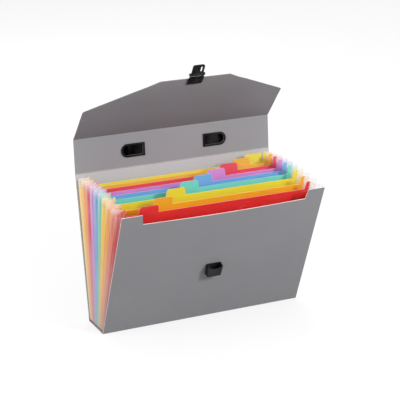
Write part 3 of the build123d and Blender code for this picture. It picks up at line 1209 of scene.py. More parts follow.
@dataclass
class Shell:
    """The scored grey sheet: base, front, back, handle panel, flap and the lines of its folds."""

    case: CaseFrame
    width: float = 330 * MM
    front_height: float = 224 * MM
    back_height: float = 227 * MM
    handle_height: float = 53 * MM
    flap_side: float = 68 * MM
    flap_depth: float = 126 * MM
    flap_tip: float = 114 * MM
    flap_bow: float = 1.6 * MM
    flap_bow_share: float = 0.98
    flap_columns: int = 22
    flap_rows: int = 12
    corner: float = 1.2 * MM
    edge: float = 0.22 * MM
    pale_edge: float = 0.48 * MM
    notch_top: float = 135 * MM
    notch_bottom: float = 132.5 * MM
    notch_depth: float = 17 * MM
    notch_shift: float = 2.6 * MM
    notch_corner: float = 0.8 * MM
    bow: float = 2.8 * MM
    bow_start: float = 118 * MM
    bow_rows: int = 6
    bow_columns: int = 16
    soft_angle: float = 18.0
    bead: float = 0.62 * MM
    bead_room: float = 0.2 * MM
    bead_end: float = 1 / 3
    bead_sides: int = 20
    lining_sheet: float = 0.3 * MM
    lining_foot: float = 6 * MM
    lining_head: float = 1.2 * MM
    lining_room: float = 0.2 * MM
    lining_edge: float = 0.1 * MM
    weld_inset: float = 8 * MM
    weld_margins: float = 24 * MM
    weld_pitch: float = 2.4 * MM
    weld_size: tuple[float, float, float] = (1.5 * MM, 0.45 * MM, 0.16 * MM)
    weld_border: float = 0.1125 * MM
    weld_crown: float = 0.16 * MM / 3
    weld_slant: float = 40.0

    def build(self) -> list[Piece]:
        """Make the shell's pieces, in place and dressed.

        Returns:
            The pieces.
        """
        made = [self.base(), self.front(), self.back(), self.lining()]
        made += [self.handle_panel(), self.flap(), *self.fold_lines()]
        return made + [self.weld_row(side) for side in Side]

    def panel(self, name: str, height: float, columns: int = 1, rows: int = 1) -> Piece:
        """Start a panel of the shell's width, standing on its fold."""
        half = self.width / 2
        return Bench.sheet(name, (-half, 0.0), (half, height), columns, rows)

    def finished(
        self,
        piece: Piece,
        leaf: Leaf,
        node: str,
        rim: EdgeFinish = GREY_EDGE,
        holes: Sequence[Piece] = (),
    ) -> Piece:
        """Give a panel its thickness and finish, put it in place and let it stand for its node.

        Args:
            piece: Flat panel on the bench.
            leaf: Leaf that it lies on.
            node: CAD node that it stands for.
            rim: Finish of its cut edges.
            holes: Shapes to cut out of it.

        Returns:
            The panel.
        """
        Bench.thicken(piece, self.case.sheet, SHELL, rim)
        for hole in holes:
            Bench.cut(piece, hole)
        # The front's cut edges carry a painted highlight on a wider rounding.
        if rim is LIT_CUT_EDGE:
            Bench.ease(piece, self.pale_edge, slot=1)
        else:
            Bench.ease(piece, self.edge)
        Bench.smooth(piece, self.soft_angle)
        Bench.flat_map(piece)
        Bench.place(piece, leaf.matrix())
        return Bench.hand_over(piece, leaf.body, "shell", node)

    def base(self) -> Piece:
        """Make the base, which lies flat between its two folds.

        Returns:
            The piece.
        """
        half, depth = self.width / 2, self.case.back.fold.y
        piece = Bench.sheet("shell_base", (-half, -depth), (half, depth))
        Bench.thicken(piece, self.case.sheet, SHELL, GREY_EDGE)
        Bench.ease(piece, self.edge)
        Bench.flat_map(piece)
        Bench.place(piece, Matrix.Translation((0.0, 0.0, self.case.front.fold.z)))
        return Bench.hand_over(piece, "base", "shell", "bottom_panel")

    def front(self) -> Piece:
        """Make the front, with the wide notch in its top edge.

        Returns:
            The piece.
        """
        half, top = self.width / 2, self.front_height
        sill, near = top - self.notch_depth, self.notch_corner / 2

        def off(point: Vector) -> float:
            """Distance of a point from the middle of the notch."""
            return abs(point.x - self.notch_shift)

        piece = self.panel("shell_front", top)
        with Bench.editing(piece):
            for side in Side:
                x = self.notch_shift + side.value * self.notch_top
                slope = self.notch_top - self.notch_bottom
                Bench.score((x, top, 0), (side.value * self.notch_depth, -slope, 0))
            Bench.score((0, sill, 0), (0, 1, 0))
            Bench.choose(piece, Pick.FACE, lambda m, n: m.y > sill and off(m) < self.notch_bottom)
            bpy.ops.mesh.delete(type="FACE")
            Bench.choose(
                piece,
                Pick.POINT,
                lambda m, n: (m.y > top - near and abs(off(m) - self.notch_top) < near)
                or (abs(m.y - sill) < near and abs(off(m) - self.notch_bottom) < near),
            )
            Bench.round_points(self.notch_corner)
            Bench.choose(
                piece, Pick.POINT, lambda m, n: m.y > top - near and half - abs(m.x) < near
            )
            Bench.round_points(self.corner)
            self.bulge(piece, sill)
        return self.finished(piece, self.case.front, "front_panel", LIT_CUT_EDGE)

    def bulge(self, piece: Piece, sill: float) -> None:
        """Let the front's slack upper edge stand out a little in the middle, in edit mode.

        Args:
            piece: The front, open in edit mode.
            sill: Height of the notch's lower edge.
        """
        rise, near = sill - self.bow_start, MM / 2
        rows, columns = range(1, self.bow_rows + 1), range(1, self.bow_columns)
        heights = [self.bow_start + rise * row / self.bow_rows for row in rows]
        places = [self.notch_bottom * (2 * column / self.bow_columns - 1) for column in columns]
        for y in heights[:-1]:
            Bench.score((0, y, 0), (0, 1, 0))
        for x in places:
            Bench.score((x, 0, 0), (1, 0, 0))
        for row, y in zip(rows, heights):
            for column, x in zip(columns, places):
                out = self.bow * (row / self.bow_rows) ** 2 * sin(pi * column / self.bow_columns)
                Bench.choose(
                    piece, Pick.POINT, lambda m, n: abs(m.x - x) < near and abs(m.y - y) < near
                )
                bpy.ops.transform.translate(value=(0, 0, out))

    def back(self) -> Piece:
        """Make the back, up to the fold under the handle panel."""
        piece = self.panel("shell_back", self.back_height)
        return self.finished(piece, self.case.back, "back_panel")

    def lining(self) -> Piece:
        """Make the milky lining that is welded to the inside of the back; its pale tone also paints
        the brighter light on that face.

        Returns:
            The piece.
        """
        leaf, half = self.case.back, self.width / 2 - self.lining_room
        low, high = self.lining_foot, self.back_height - self.lining_head
        piece = Bench.sheet("back_lining", (-half, low), (half, high))
        with Bench.editing(piece):
            Bench.choose(piece, Pick.POINT, anywhere)
            Bench.round_points(self.corner)
        Bench.thicken(piece, self.lining_sheet, LIT_LINING, LIT_CUT_EDGE)
        Bench.ease(piece, self.lining_edge, THIN)
        Bench.flat_map(piece)
        Bench.place(piece, leaf.matrix(leaf.half + self.lining_sheet / 2))
        return Bench.hand_over(piece, leaf.body, "shell")

    def handle_panel(self) -> Piece:
        """Make the panel that carries the handle, with its two D holes.

        Returns:
            The piece.
        """
        piece = self.panel("shell_handle_panel", self.handle_height)
        border, depth = -CarryHandle.rim_border, CUT_DEPTH * self.case.sheet
        holes = [CarryHandle.d_block("hole", side, border, depth, 0.0) for side in Side]
        return self.finished(piece, self.case.handle, "handle_panel", holes=holes)

    def flap(self) -> Piece:
        """Make the six-cornered flap, with a slight bow and painted shade on its inside that
        deepens towards its fold.

        Returns:
            The piece.
        """
        half, tip, near = self.width / 2, self.flap_tip / 2, self.corner / 2
        run, rise = half - tip, self.flap_depth - self.flap_side
        middle, row = self.flap_depth / 2, self.flap_depth / self.flap_rows
        piece = self.panel("shell_flap", self.flap_depth, self.flap_columns, self.flap_rows)
        with Bench.editing(piece):
            for side in Side:
                normal = (side.value * rise, run, 0)
                Bench.score((side.value * half, self.flap_side, 0), normal, drop=True)
            Bench.choose(piece, Pick.POINT, lambda m, n: abs(m.y - middle) < row / 2)
            Bench.swell((0, 0, -self.flap_bow), middle * self.flap_bow_share)
            Bench.choose(
                piece,
                Pick.POINT,
                lambda m, n: (abs(m.y - self.flap_side) < near and abs(abs(m.x) - half) < near)
                or (m.y > self.flap_depth - near and abs(abs(m.x) - tip) < near),
            )
            Bench.round_points(self.corner)
        piece = self.finished(piece, self.case.flap, "closing_flap")
        # The inside face gets the painted light and shade of the flap's inside.
        Bench.dress(piece, SHELL, GREY_EDGE, SHADED_INSIDE)
        with Bench.editing(piece):
            Bench.choose(piece, Pick.FACE, facing(self.case.flap.matrix().col[2].xyz))
            Bench.paint(piece, 2)
        return piece

    def fold_lines(self) -> list[Piece]:
        """Make the whitened bead along each fold.

        Returns:
            The beads.
        """
        made = []
        for name, leaf, body in (
            ("fold_line_front", self.case.front, "base"),
            ("fold_line_back", self.case.back, "base"),
            ("fold_line_lid", self.case.handle, "back"),
            ("fold_line_flap", self.case.flap, "lid"),
        ):
            radius = leaf.half if body == "base" else self.bead
            length = self.width - 2 * self.bead_room
            piece = Bench.rod(name, radius, length, leaf.fold, Axis.X, self.bead_sides)
            Bench.ease(piece, radius * self.bead_end)
            Bench.smooth(piece)
            Bench.dress(piece, FOLD_LINE)
            made.append(Bench.hand_over(piece, body, "shell"))
        return made

    def weld_row(self, side: Side) -> Piece:
        """Make the row of small slanting weld marks along one side of the front.

        Args:
            side: Side of the case.

        Returns:
            The row.
        """
        leaf = self.case.front
        middle = (side.value * (self.width / 2 - self.weld_inset), self.weld_inset, leaf.half)
        piece = Bench.block(f"weld_row_{side.word}", self.weld_size, middle)
        with Bench.editing(piece):
            bpy.ops.mesh.select_all(action="SELECT")
            slant = radians(self.weld_slant)
            bpy.ops.transform.rotate(value=slant, orient_axis="Z", center_override=middle)
            Bench.choose(piece, Pick.FACE, facing(FRONTWARDS))
            bpy.ops.mesh.inset(thickness=self.weld_border, depth=self.weld_crown)
        Bench.finish(
            piece,
            "ARRAY",
            count=int((self.front_height - self.weld_margins) / self.weld_pitch),
            use_relative_offset=False,
            use_constant_offset=True,
            constant_offset_displace=(0.0, self.weld_pitch, 0.0),
        )
        Bench.flat_map(piece)
        Bench.dress(piece, SHELL)
        Bench.place(piece, leaf.matrix())
        return Bench.hand_over(piece, leaf.body, "shell")


# The bellows


@dataclass
class Bellows:
    """The fan of coloured dividers and the pleated films at its sides."""

    case: CaseFrame
    width: float = 304 * MM
    height: float = 222 * MM
    tab_height: float = 13 * MM
    tab_width: float = 29 * MM
    tab_slope: float = 1.5 * MM
    tab_corner: float = 4.2 * MM
    first_tab: float = -113 * MM
    tab_pitch: float = 30 * MM
    shoulder: float = 6.5 * MM
    left_shoulder: float = 2 * MM
    edge: float = 0.1 * MM
    edge_paleness: float = 0.3
    bow: float = 1.2 * MM
    bow_half: float = 70 * MM
    bow_columns: tuple[float, ...] = tuple(25 * MM * step for step in range(-5, 6))
    bow_rows: int = 10
    film: float = 0.26 * MM
    film_room: float = 0.12 * MM
    film_reach: float = 16 * MM
    foot_reach: float = 14.2 * MM
    back_reach: float = 14.4 * MM
    front_bulge: float = 3.5 * MM
    bulge_pockets: int = 4
    weld: float = 2 * MM
    film_dip: float = 2.0 * MM
    film_shares: tuple[float, ...] = (0.0, 0.06, 0.25, 0.5, 0.75, 0.93, 1.0)
    film_rows: int = 12
    film_soft_angle: float = 60.0
    crease_band: float = 1.1 * MM
    foot_band: float = 150 * MM
    fold_milk: float = 0.9
    seam_milk: float = 0.4
    foot_milk: float = 0.7
    top_band: float = 9 * MM
    clear_band: float = 3 * MM
    front_clear_band: float = 19 * MM
    clear_pockets: int = 7
    tint: float = 0.1
    coral_pocket: int = 2
    coral: float = 0.45
    coral_tint: float = 0.26

    @property
    def inner_x(self) -> float:
        """Distance from the middle to where a film leaves its sheet."""
        return self.width / 2 - self.weld

    def build(self) -> list[Piece]:
        """Make the bellows' pieces, in place and dressed, and dress the pockets' floor.

        Returns:
            The new pieces.
        """
        made = [self.divider(number, hue) for number, hue in enumerate(Hue, 1)]
        for number in range(1, len(Hue) + 2):
            made += self.gusset(number)
        Bench.dress(frame["nodes"]["bellows_floor"], POCKET_FLOOR)
        return made

    def divider(self, number: int, hue: Hue) -> Piece:
        """Make one divider, with its tab and its raised shoulders.

        Args:
            number: Its number, from the front.
            hue: Its colour.

        Returns:
            The piece.
        """
        leaf = self.case.dividers[number - 1]
        end, sill = self.width / 2, self.height - self.tab_height
        tab_x = self.first_tab + (number - 1) * self.tab_pitch
        piece = Bench.sheet(f"divider_sheet_{number}", (-end, 0.0), (end, sill))
        with Bench.editing(piece):
            self.raise_top(piece, tab_x, sill)
            self.bow_out(piece, sill)
        face = DividerFinish(f"{hue.word}_sheet", hue.colour)
        pale = towards(hue.colour, WHITE, self.edge_paleness)
        Bench.thicken(
            piece, self.case.divider_sheet, face, EdgeFinish(f"{hue.word}_sheet_edge", pale)
        )
        Bench.ease(piece, self.edge, THIN)
        Bench.smooth(piece)
        Bench.flat_map(piece)
        Bench.place(piece, leaf.matrix())
        return Bench.hand_over(piece, leaf.body, f"{hue.word}_sheet", f"divider_{number}")

    def raise_top(self, piece: Piece, tab_x: float, sill: float) -> None:
        """Raise a divider's tab and its two shoulders from its top edge, in edit mode.

        Args:
            piece: Divider that is open in edit mode.
            tab_x: Middle of its tab.
            sill: Height of its top edge.
        """
        end, half, near = self.width / 2, self.tab_width / 2, self.tab_slope / 2
        foot = half + self.tab_slope
        left = self.left_shoulder + self.tab_slope - end
        right = end - self.shoulder - self.tab_slope

        def off(point: Vector) -> float:
            """Distance of a point from the middle of the tab."""
            return abs(point.x - tab_x)

        columns = [x for x in self.bow_columns if abs(abs(x - tab_x) - foot) > 2 * self.tab_corner]
        for x in (left, tab_x - foot, tab_x + foot, right, *columns):
            Bench.score((x, 0, 0), (1, 0, 0))
        Bench.choose(
            piece,
            Pick.EDGE,
            lambda m, d: m.y > sill - near and (m.x < left or m.x > right or off(m) < foot),
        )
        Bench.pull((0, self.tab_height, 0))
        Bench.choose(piece, Pick.POINT, lambda m, n: m.y > sill + near and off(m) < foot + near)
        middle = (tab_x, self.height, 0)
        bpy.ops.transform.resize(value=(half / foot, 1, 1), center_override=middle)
        for side, x in zip(Side, (left, right)):
            Bench.choose(
                piece, Pick.POINT, lambda m, n: m.y > sill + near and abs(m.x - x) < near / 2
            )
            bpy.ops.transform.translate(value=(side.value * self.tab_slope, 0, 0))
        Bench.choose(
            piece, Pick.POINT, lambda m, n: m.y > sill + near and abs(off(m) - half) < near / 2
        )
        Bench.round_points(self.tab_corner)

    def bow_out(self, piece: Piece, sill: float) -> None:
        """Bow the middle of a divider a little to the front, in edit mode.

        Args:
            piece: Divider that is open in edit mode.
            sill: Height of its top edge.
        """
        middle, upright = sill / 2, running(Axis.Y, DEAD_SQUARE)
        near, row = self.tab_slope / 2, sill / self.bow_rows
        Bench.choose(piece, Pick.EDGE, lambda m, d: upright(m, d) and abs(m.y - middle) < near)
        bpy.ops.mesh.subdivide(number_cuts=self.bow_rows - 1)
        Bench.choose(
            piece,
            Pick.POINT,
            lambda m, n: abs(m.y - middle) < row / 2 and abs(m.x) < self.bow_half,
        )
        Bench.swell((0, 0, self.bow), self.inner_x - self.bow_half)

    def reach(self, number: int) -> float:
        """Reach of a pocket's film past its weld, most in the slack pockets near the front.

        Args:
            number: Number of the pocket, from the front.

        Returns:
            The reach.
        """
        if number > len(Hue):
            return self.back_reach
        return self.film_reach + self.front_bulge * fading(number - 1, self.bulge_pockets)

    def band(self, number: int, side: Side) -> float:
        """Depth of a film's clear top, which the finish also paints paler with light.

        Args:
            number: Number of the pocket, from the front.
            side: Side of the case.

        Returns:
            The depth: more towards the front on the right, and none on the left of pocket 1.
        """
        if side is Side.RIGHT:
            return self.clear_band + self.front_clear_band * fading(number - 1, self.clear_pockets)
        return self.clear_band if number > 1 else -self.top_band

    def film_line(
        self, own: Leaf, other: Leaf, reach: float, behind: int, heights: Span
    ) -> list[Vector]:
        """Line along one half of a film, from its sheet out to the crease, on the left side.

        Args:
            own: Sheet that the half is welded to.
            other: Sheet across the pocket.
            reach: Reach of the film past its weld.
            behind: 1 where the film is behind its sheet and -1 where it is in front.
            heights: Heights above the table at the sheet and at the crease.

        Returns:
            The points, from the sheet to the crease.
        """
        room = self.film_room + self.film / 2
        points = []
        for share in self.film_shares:
            z = heights[0] + (heights[1] - heights[0]) * share
            near, far = own.face_y(z, behind, room), other.face_y(z, -behind, room)
            y = near + (far - near) / 2 * (1 - cos(share * pi / 2))
            points.append(Vector((-self.inner_x - reach * share, y, z)))
        return points

    def film_half(
        self, name: str, own: Leaf, other: Leaf, reach: float, behind: int, finish: Finish
    ) -> Piece:
        """Make one half of a film on the left side.

        Args:
            name: Name of the piece.
            own: Sheet that the half is welded to.
            other: Sheet across the pocket.
            reach: Reach of the film past its weld.
            behind: 1 where the film is behind its sheet and -1 where it is in front.
            finish: Its finish.

        Returns:
            The piece, in place.
        """
        bottom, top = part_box("left_gusset_5")[0].z, own.height_at(self.height)
        crease = (top + other.height_at(self.height)) / 2 - self.film_dip
        columns = len(self.film_shares) - 1
        low, high = (-self.inner_x - reach, bottom), (-self.inner_x, top)
        piece = Bench.sheet(name, low, high, columns, 1)
        steep = running(Axis.Z, STEEP)
        with Bench.editing(piece):
            for flat_y, length, heights in (
                (bottom, self.foot_reach, (bottom, bottom)),
                (top, reach, (top, crease)),
            ):
                line = self.film_line(own, other, length, behind, heights)
                for column, point in enumerate(line):
                    flat = Vector((-self.inner_x - reach * column / columns, flat_y, 0.0))
                    Bench.choose(piece, Pick.POINT, lambda m, n: (m - flat).length < self.film)
                    bpy.ops.transform.translate(value=point - flat)
            Bench.choose(piece, Pick.EDGE, steep)
            bpy.ops.mesh.subdivide(number_cuts=self.film_rows)
            Bench.face_outwards()
        Bench.thicken(piece, self.film, finish, finish)
        Bench.smooth(piece, self.film_soft_angle)
        return piece

    def mark_creases(self, piece: Piece, top: float, band: float) -> None:
        """Store where a film is creased and where it is clearer near its top, with painted light
        there, for its finish.

        Args:
            piece: Half of a film.
            top: Height of the film's top.
            band: Depth below the top where it is clearest.
        """
        crease = piece.data.attributes.new("crease", "FLOAT", "POINT")
        clear = piece.data.attributes.new("clear", "FLOAT", "POINT")
        outer = max(abs(point.co.x) for point in piece.data.vertices)
        for point in piece.data.vertices:
            x, z = abs(point.co.x), point.co.z
            milk = self.fold_milk * fading(outer - x, self.crease_band)
            milk += self.seam_milk * fading(x - self.inner_x, self.crease_band)
            milk += self.foot_milk * fading(z, self.foot_band)
            depth = max(0.0, top - z - band)
            crease.data[point.index].value = min(1.0, milk)
            clear.data[point.index].value = fading(depth, self.top_band)

    def follow(self, piece: Piece) -> None:
        """Put the place of half of a film into its mesh.

        Args:
            piece: Half of a film.
        """
        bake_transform(piece)

    def gusset(self, number: int) -> list[Piece]:
        """Make both halves of a pocket's films, left and right.

        Args:
            number: Number of the pocket, from the front.

        Returns:
            The four pieces.
        """
        front, back = self.case.fan[number - 1], self.case.fan[number]
        hue = list(Hue)[max(0, number - 2)]
        slot = f"{hue.word}_film"
        finish = FilmFinish(slot, towards(hue.colour, WHITE, self.tint))
        if number == self.coral_pocket:
            coral = towards(hue.colour, Hue.ORANGE.colour, self.coral)
            finish = FilmFinish("coral_film", towards(coral, WHITE, self.coral_tint))
        reach = self.reach(number)
        made = []
        for half, own, other, behind in (("front", front, back, 1), ("back", back, front, -1)):
            left = self.film_half(f"left_film_{number}_{half}", own, other, reach, behind, finish)
            right = Bench.mirrored(left, f"right_film_{number}_{half}")
            for piece, side in zip((left, right), Side):
                self.mark_creases(piece, own.height_at(self.height), self.band(number, side))
                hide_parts(f"{side.word}_gusset_{number}")
                self.follow(piece)
                made.append(piece)
        return made


# The catch and the clasp


def moulded(
    piece: Piece, matrix: Matrix, body: str, node: str, finishes: Sequence[Finish] = (BLACK,)
) -> Piece:
    """Dress a moulded piece, put it in place and let it stand for its node.

    Args:
        piece: Piece on the bench.
        matrix: Matrix to its place.
        body: Body that it moves with.
        node: CAD node that it stands for.
        finishes: Its finishes, one for each material slot.

    Returns:
        The piece.
    """
    Bench.smooth(piece)
    Bench.dress(piece, *finishes)
    Bench.place(piece, matrix)
    return Bench.hand_over(piece, body, "black_plastic", node)


@dataclass
class Catch:
    """The open-topped box on the front that takes the clasp's tongue."""

    case: CaseFrame
    width: float = 25 * MM
    length: float = 21 * MM
    depth: float = 9 * MM
    wall: float = 1.3 * MM
    height: float = 97.5 * MM
    corner: float = 1.5 * MM
    mouth_width: float = 20.4 * MM
    mouth_depth: float = 5.2 * MM
    mouth_sides: int = 48
    draft: Span = (0.98, 0.93)
    draft_depth: float = 1.95 * MM
    taper: float = 0.92
    edge: float = 0.5 * MM

    def build(self) -> list[Piece]:
        """Make the catch and dress the plate and rivets behind it.

        Returns:
            The new pieces.
        """
        for node in ("catch_backing_plate", "catch_rivets"):
            Bench.dress(frame["nodes"][node], BLACK)
        return [self.box()]

    def box(self) -> Piece:
        """Make the box, with the dip in its front wall.

        Returns:
            The piece.
        """
        leaf = self.case.front
        front, top = leaf.half + self.depth, self.height + self.length / 2
        rim, size = (0, top, front), (self.width, self.length, self.depth)
        piece = Bench.block("catch_body", size, (0, self.height, leaf.half + self.depth / 2))
        Bench.dress(piece, BLACK, SHADED_BLACK, LIT_SATIN)
        with Bench.editing(piece):
            Bench.choose(piece, Pick.EDGE, running(Axis.Z))
            Bench.round_edges(self.corner)
            # Painted light: the front wall gets the paler copy of the black.
            Bench.choose(piece, Pick.FACE, facing(FRONTWARDS, DEAD_SQUARE))
            Bench.paint(piece, 2)
            Bench.choose(piece, Pick.FACE, facing(UP, DEAD_SQUARE))
            bpy.ops.mesh.inset(thickness=self.wall, depth=0.0)
            Bench.pull((0, -(self.length - self.wall), 0))
            bpy.ops.mesh.select_more()
            # Painted shade: the inside of the box gets the darker copy of the black.
            Bench.paint(piece, 1, top - self.wall / 2)
            Bench.choose(piece, Pick.POINT, lambda m, n: m.z > front - self.draft_depth)
            bpy.ops.transform.resize(value=(*self.draft, 1), center_override=rim)
            Bench.choose(piece, Pick.POINT, lambda m, n: m.y < self.height)
            bpy.ops.transform.resize(value=(self.taper, 1, 1), center_override=rim)
        mouth = Bench.rod("mouth", 1.0, CUT_DEPTH * self.wall, (0, 0, 0), Axis.Z, self.mouth_sides)
        mouth.scale = (self.mouth_width / 2, self.mouth_depth, 1.0)
        mouth.location = rim
        Bench.settle(mouth)
        Bench.cut(piece, mouth)
        Bench.ease(piece, self.edge, MOULDED)
        return moulded(piece, leaf.matrix(), leaf.body, "catch_box", (BLACK, SHADED_BLACK, LIT_SATIN))


@dataclass
class Clasp:
    """The two plates on the flap's edge and the tongue that turns on their pin."""

    case: CaseFrame
    flap_depth: float = Shell.flap_depth
    width: float = 25 * MM
    grip: float = 12 * MM
    overhang: float = 5 * MM
    inner: float = 2.2 * MM
    inner_width: float = 24 * MM
    outer: float = 2.6 * MM
    outer_border: float = 2.2 * MM
    sunk: float = 0.5 * MM
    corner: float = 1.5 * MM
    barrel: float = 2.4 * MM
    barrel_sides: int = 40
    knuckle: float = 2.8 * MM
    knuckle_sides: int = 32
    room_sides: int = 48
    pin: float = 1 * MM
    pin_end: float = 0.4 * MM
    pin_sides: int = 24
    gap: float = 0.12 * MM
    rib: tuple[float, float, float] = (11.4 * MM, 1.4 * MM, 0.8 * MM)
    rib_pitch: float = 2.8 * MM
    rib_count: int = 3
    rib_round: float = 1.4 * MM / 3
    rib_steps: int = 3
    tongue_tilt: float = -12.0
    tongue_length: float = 18 * MM
    tongue_sheet: float = 2.4 * MM
    tongue_border: float = 1.6 * MM
    tongue_corner: float = 3.2 * MM
    tongue_steps: int = 6
    slot_size: Span = (3.0 * MM, 9.6 * MM)
    slot_inset: float = 4.6 * MM
    slot_corner: float = 0.7 * MM
    lip: float = 1.2 * MM
    lip_edge: float = 0.3 * MM
    edge: float = 0.4 * MM

    @property
    def length(self) -> float:
        """Length of the plates, over the flap and past its edge."""
        return self.grip + self.overhang

    @property
    def middle(self) -> float:
        """Height of the plates' middle up the flap."""
        return self.flap_depth + self.overhang - self.length / 2

    @property
    def barrel_length(self) -> float:
        """Length of the tongue's barrel between the knuckles."""
        return self.width - 2 * self.knuckle - 2 * self.gap

    def build(self) -> list[Piece]:
        """Make the clasp and dress its rivets."""
        Bench.dress(frame["nodes"]["clasp_rivets"], BLACK)
        return [self.inner_plate(), self.outer_plate(), self.pin_piece(), self.tongue()]

    def pin_piece(self) -> Piece:
        """Make the pin that the tongue turns on, with eased ends.

        Returns:
            The piece.
        """
        length, middle = self.width + 2 * self.pin_end, joint_place("clasp_turn")
        piece = Bench.rod("clasp_pin_body", self.pin, length, middle, Axis.X, self.pin_sides)
        Bench.ease(piece, self.pin_end, PIN_END)
        Bench.smooth(piece)
        Bench.dress(piece, PIN)
        return Bench.hand_over(piece, "flap", "steel_pin", "clasp_pin")

    def plate(self, name: str, width: float, thickness: float, depth: float) -> Piece:
        """Start a plate with rounded corners.

        Args:
            name: Name of the piece.
            width: Its width.
            thickness: Its thickness.
            depth: Its middle, in front of the flap's middle.

        Returns:
            The piece.
        """
        piece = Bench.block(name, (width, self.length, thickness), (0, self.middle, depth))
        with Bench.editing(piece):
            Bench.choose(piece, Pick.EDGE, running(Axis.Z))
            Bench.round_edges(self.corner)
        return piece

    def inner_plate(self) -> Piece:
        """Make the plate inside the flap, with its ribs.

        Returns:
            The piece.
        """
        leaf = self.case.flap
        face = leaf.half + self.inner
        piece = self.plate(
            "clasp_plate_inner", self.inner_width, self.inner, leaf.half + self.inner / 2
        )
        Bench.ease(piece, self.edge, MOULDED)
        width, breadth, height = self.rib
        for number in range(self.rib_count):
            y = self.middle + (number - (self.rib_count - 1) / 2) * self.rib_pitch
            rib = Bench.block("rib", (width, breadth, 2 * height), (0, y, face))
            with Bench.editing(rib):
                Bench.choose(rib, Pick.EDGE, lambda m, d: m.z > face)
                Bench.round_edges(self.rib_round, self.rib_steps)
            Bench.add(piece, rib)
        return moulded(piece, leaf.matrix(), leaf.body, "clasp_inner_plate")

    def outer_plate(self) -> Piece:
        """Make the plate outside the flap, with a knuckle at each end of the pin.

        Returns:
            The piece.
        """
        leaf = self.case.flap
        middle = -leaf.half - self.outer / 2
        pin_y = self.flap_depth + self.overhang + self.barrel
        pin_z = -leaf.half - self.outer + self.barrel
        piece = self.plate("clasp_plate_outer", self.width, self.outer, middle)
        with Bench.editing(piece):
            Bench.choose(piece, Pick.FACE, facing(-FRONTWARDS))
            bpy.ops.mesh.inset(thickness=self.outer_border, depth=-self.sunk)
        Bench.ease(piece, self.edge, MOULDED)
        for side in Side:
            x = side.value * (self.width - self.knuckle) / 2
            size = (self.knuckle, 2 * self.barrel, self.outer)
            Bench.add(piece, Bench.block("neck", size, (x, pin_y - self.barrel, middle)))
            place = (x, pin_y, pin_z)
            knuckle = Bench.rod(
                "knuckle", self.barrel, self.knuckle, place, Axis.X, self.knuckle_sides
            )
            Bench.ease(knuckle, self.edge / 2, TURNED)
            Bench.add(piece, knuckle)
        radius, length = self.barrel + self.gap, self.barrel_length + 2 * self.gap
        room = Bench.rod("room", radius, length, (0, pin_y, pin_z), Axis.X, self.room_sides)
        Bench.cut(piece, room)
        return moulded(piece, leaf.matrix(), leaf.body, "clasp_outer_plate")

    def tongue(self) -> Piece:
        """Make the tongue: barrel, plate with a slot, a sunk panel and a lip.

        Returns:
            The piece.
        """
        along, square = self.tongue_length, running(Axis.Z)
        size = (self.barrel_length, along, self.tongue_sheet)
        piece = Bench.block("clasp_tongue_body", size, (0, along / 2, 0))
        with Bench.editing(piece):
            Bench.choose(piece, Pick.EDGE, lambda m, d: square(m, d) and m.y > along / 2)
            Bench.round_edges(self.tongue_corner, self.tongue_steps)
            Bench.choose(piece, Pick.FACE, facing(-FRONTWARDS))
            bpy.ops.mesh.inset(thickness=self.tongue_border, depth=-self.sunk)
        slot_x = self.barrel_length / 2 - self.slot_inset
        slot_y = along - self.tongue_corner - self.slot_size[1] / 2
        size = (*self.slot_size, CUT_DEPTH * self.tongue_sheet)
        slot = Bench.block("slot", size, (slot_x, slot_y, 0))
        with Bench.editing(slot):
            Bench.choose(slot, Pick.EDGE, square)
            Bench.round_edges(self.slot_corner)
        Bench.cut(piece, slot)
        Bench.ease(piece, self.edge, MOULDED)
        barrel = Bench.rod(
            "barrel", self.barrel, self.barrel_length, (0, 0, 0), Axis.X, self.barrel_sides
        )
        Bench.ease(barrel, self.edge / 2, TURNED)
        Bench.add(piece, barrel)
        size = (2 * (slot_x - self.slot_size[0]), self.lip, 2 * self.lip)
        lip = Bench.block("lip", size, (0, along - self.tongue_corner, self.tongue_sheet / 2))
        Bench.ease(lip, self.lip_edge)
        Bench.add(piece, lip)
        lean = self.case.flap.lean + self.tongue_tilt
        leaf = Leaf("tongue", joint_place("clasp_turn"), lean, self.tongue_sheet / 2)
        return moulded(piece, leaf.matrix(), leaf.body, "clasp_tongue")


# The carrying handle


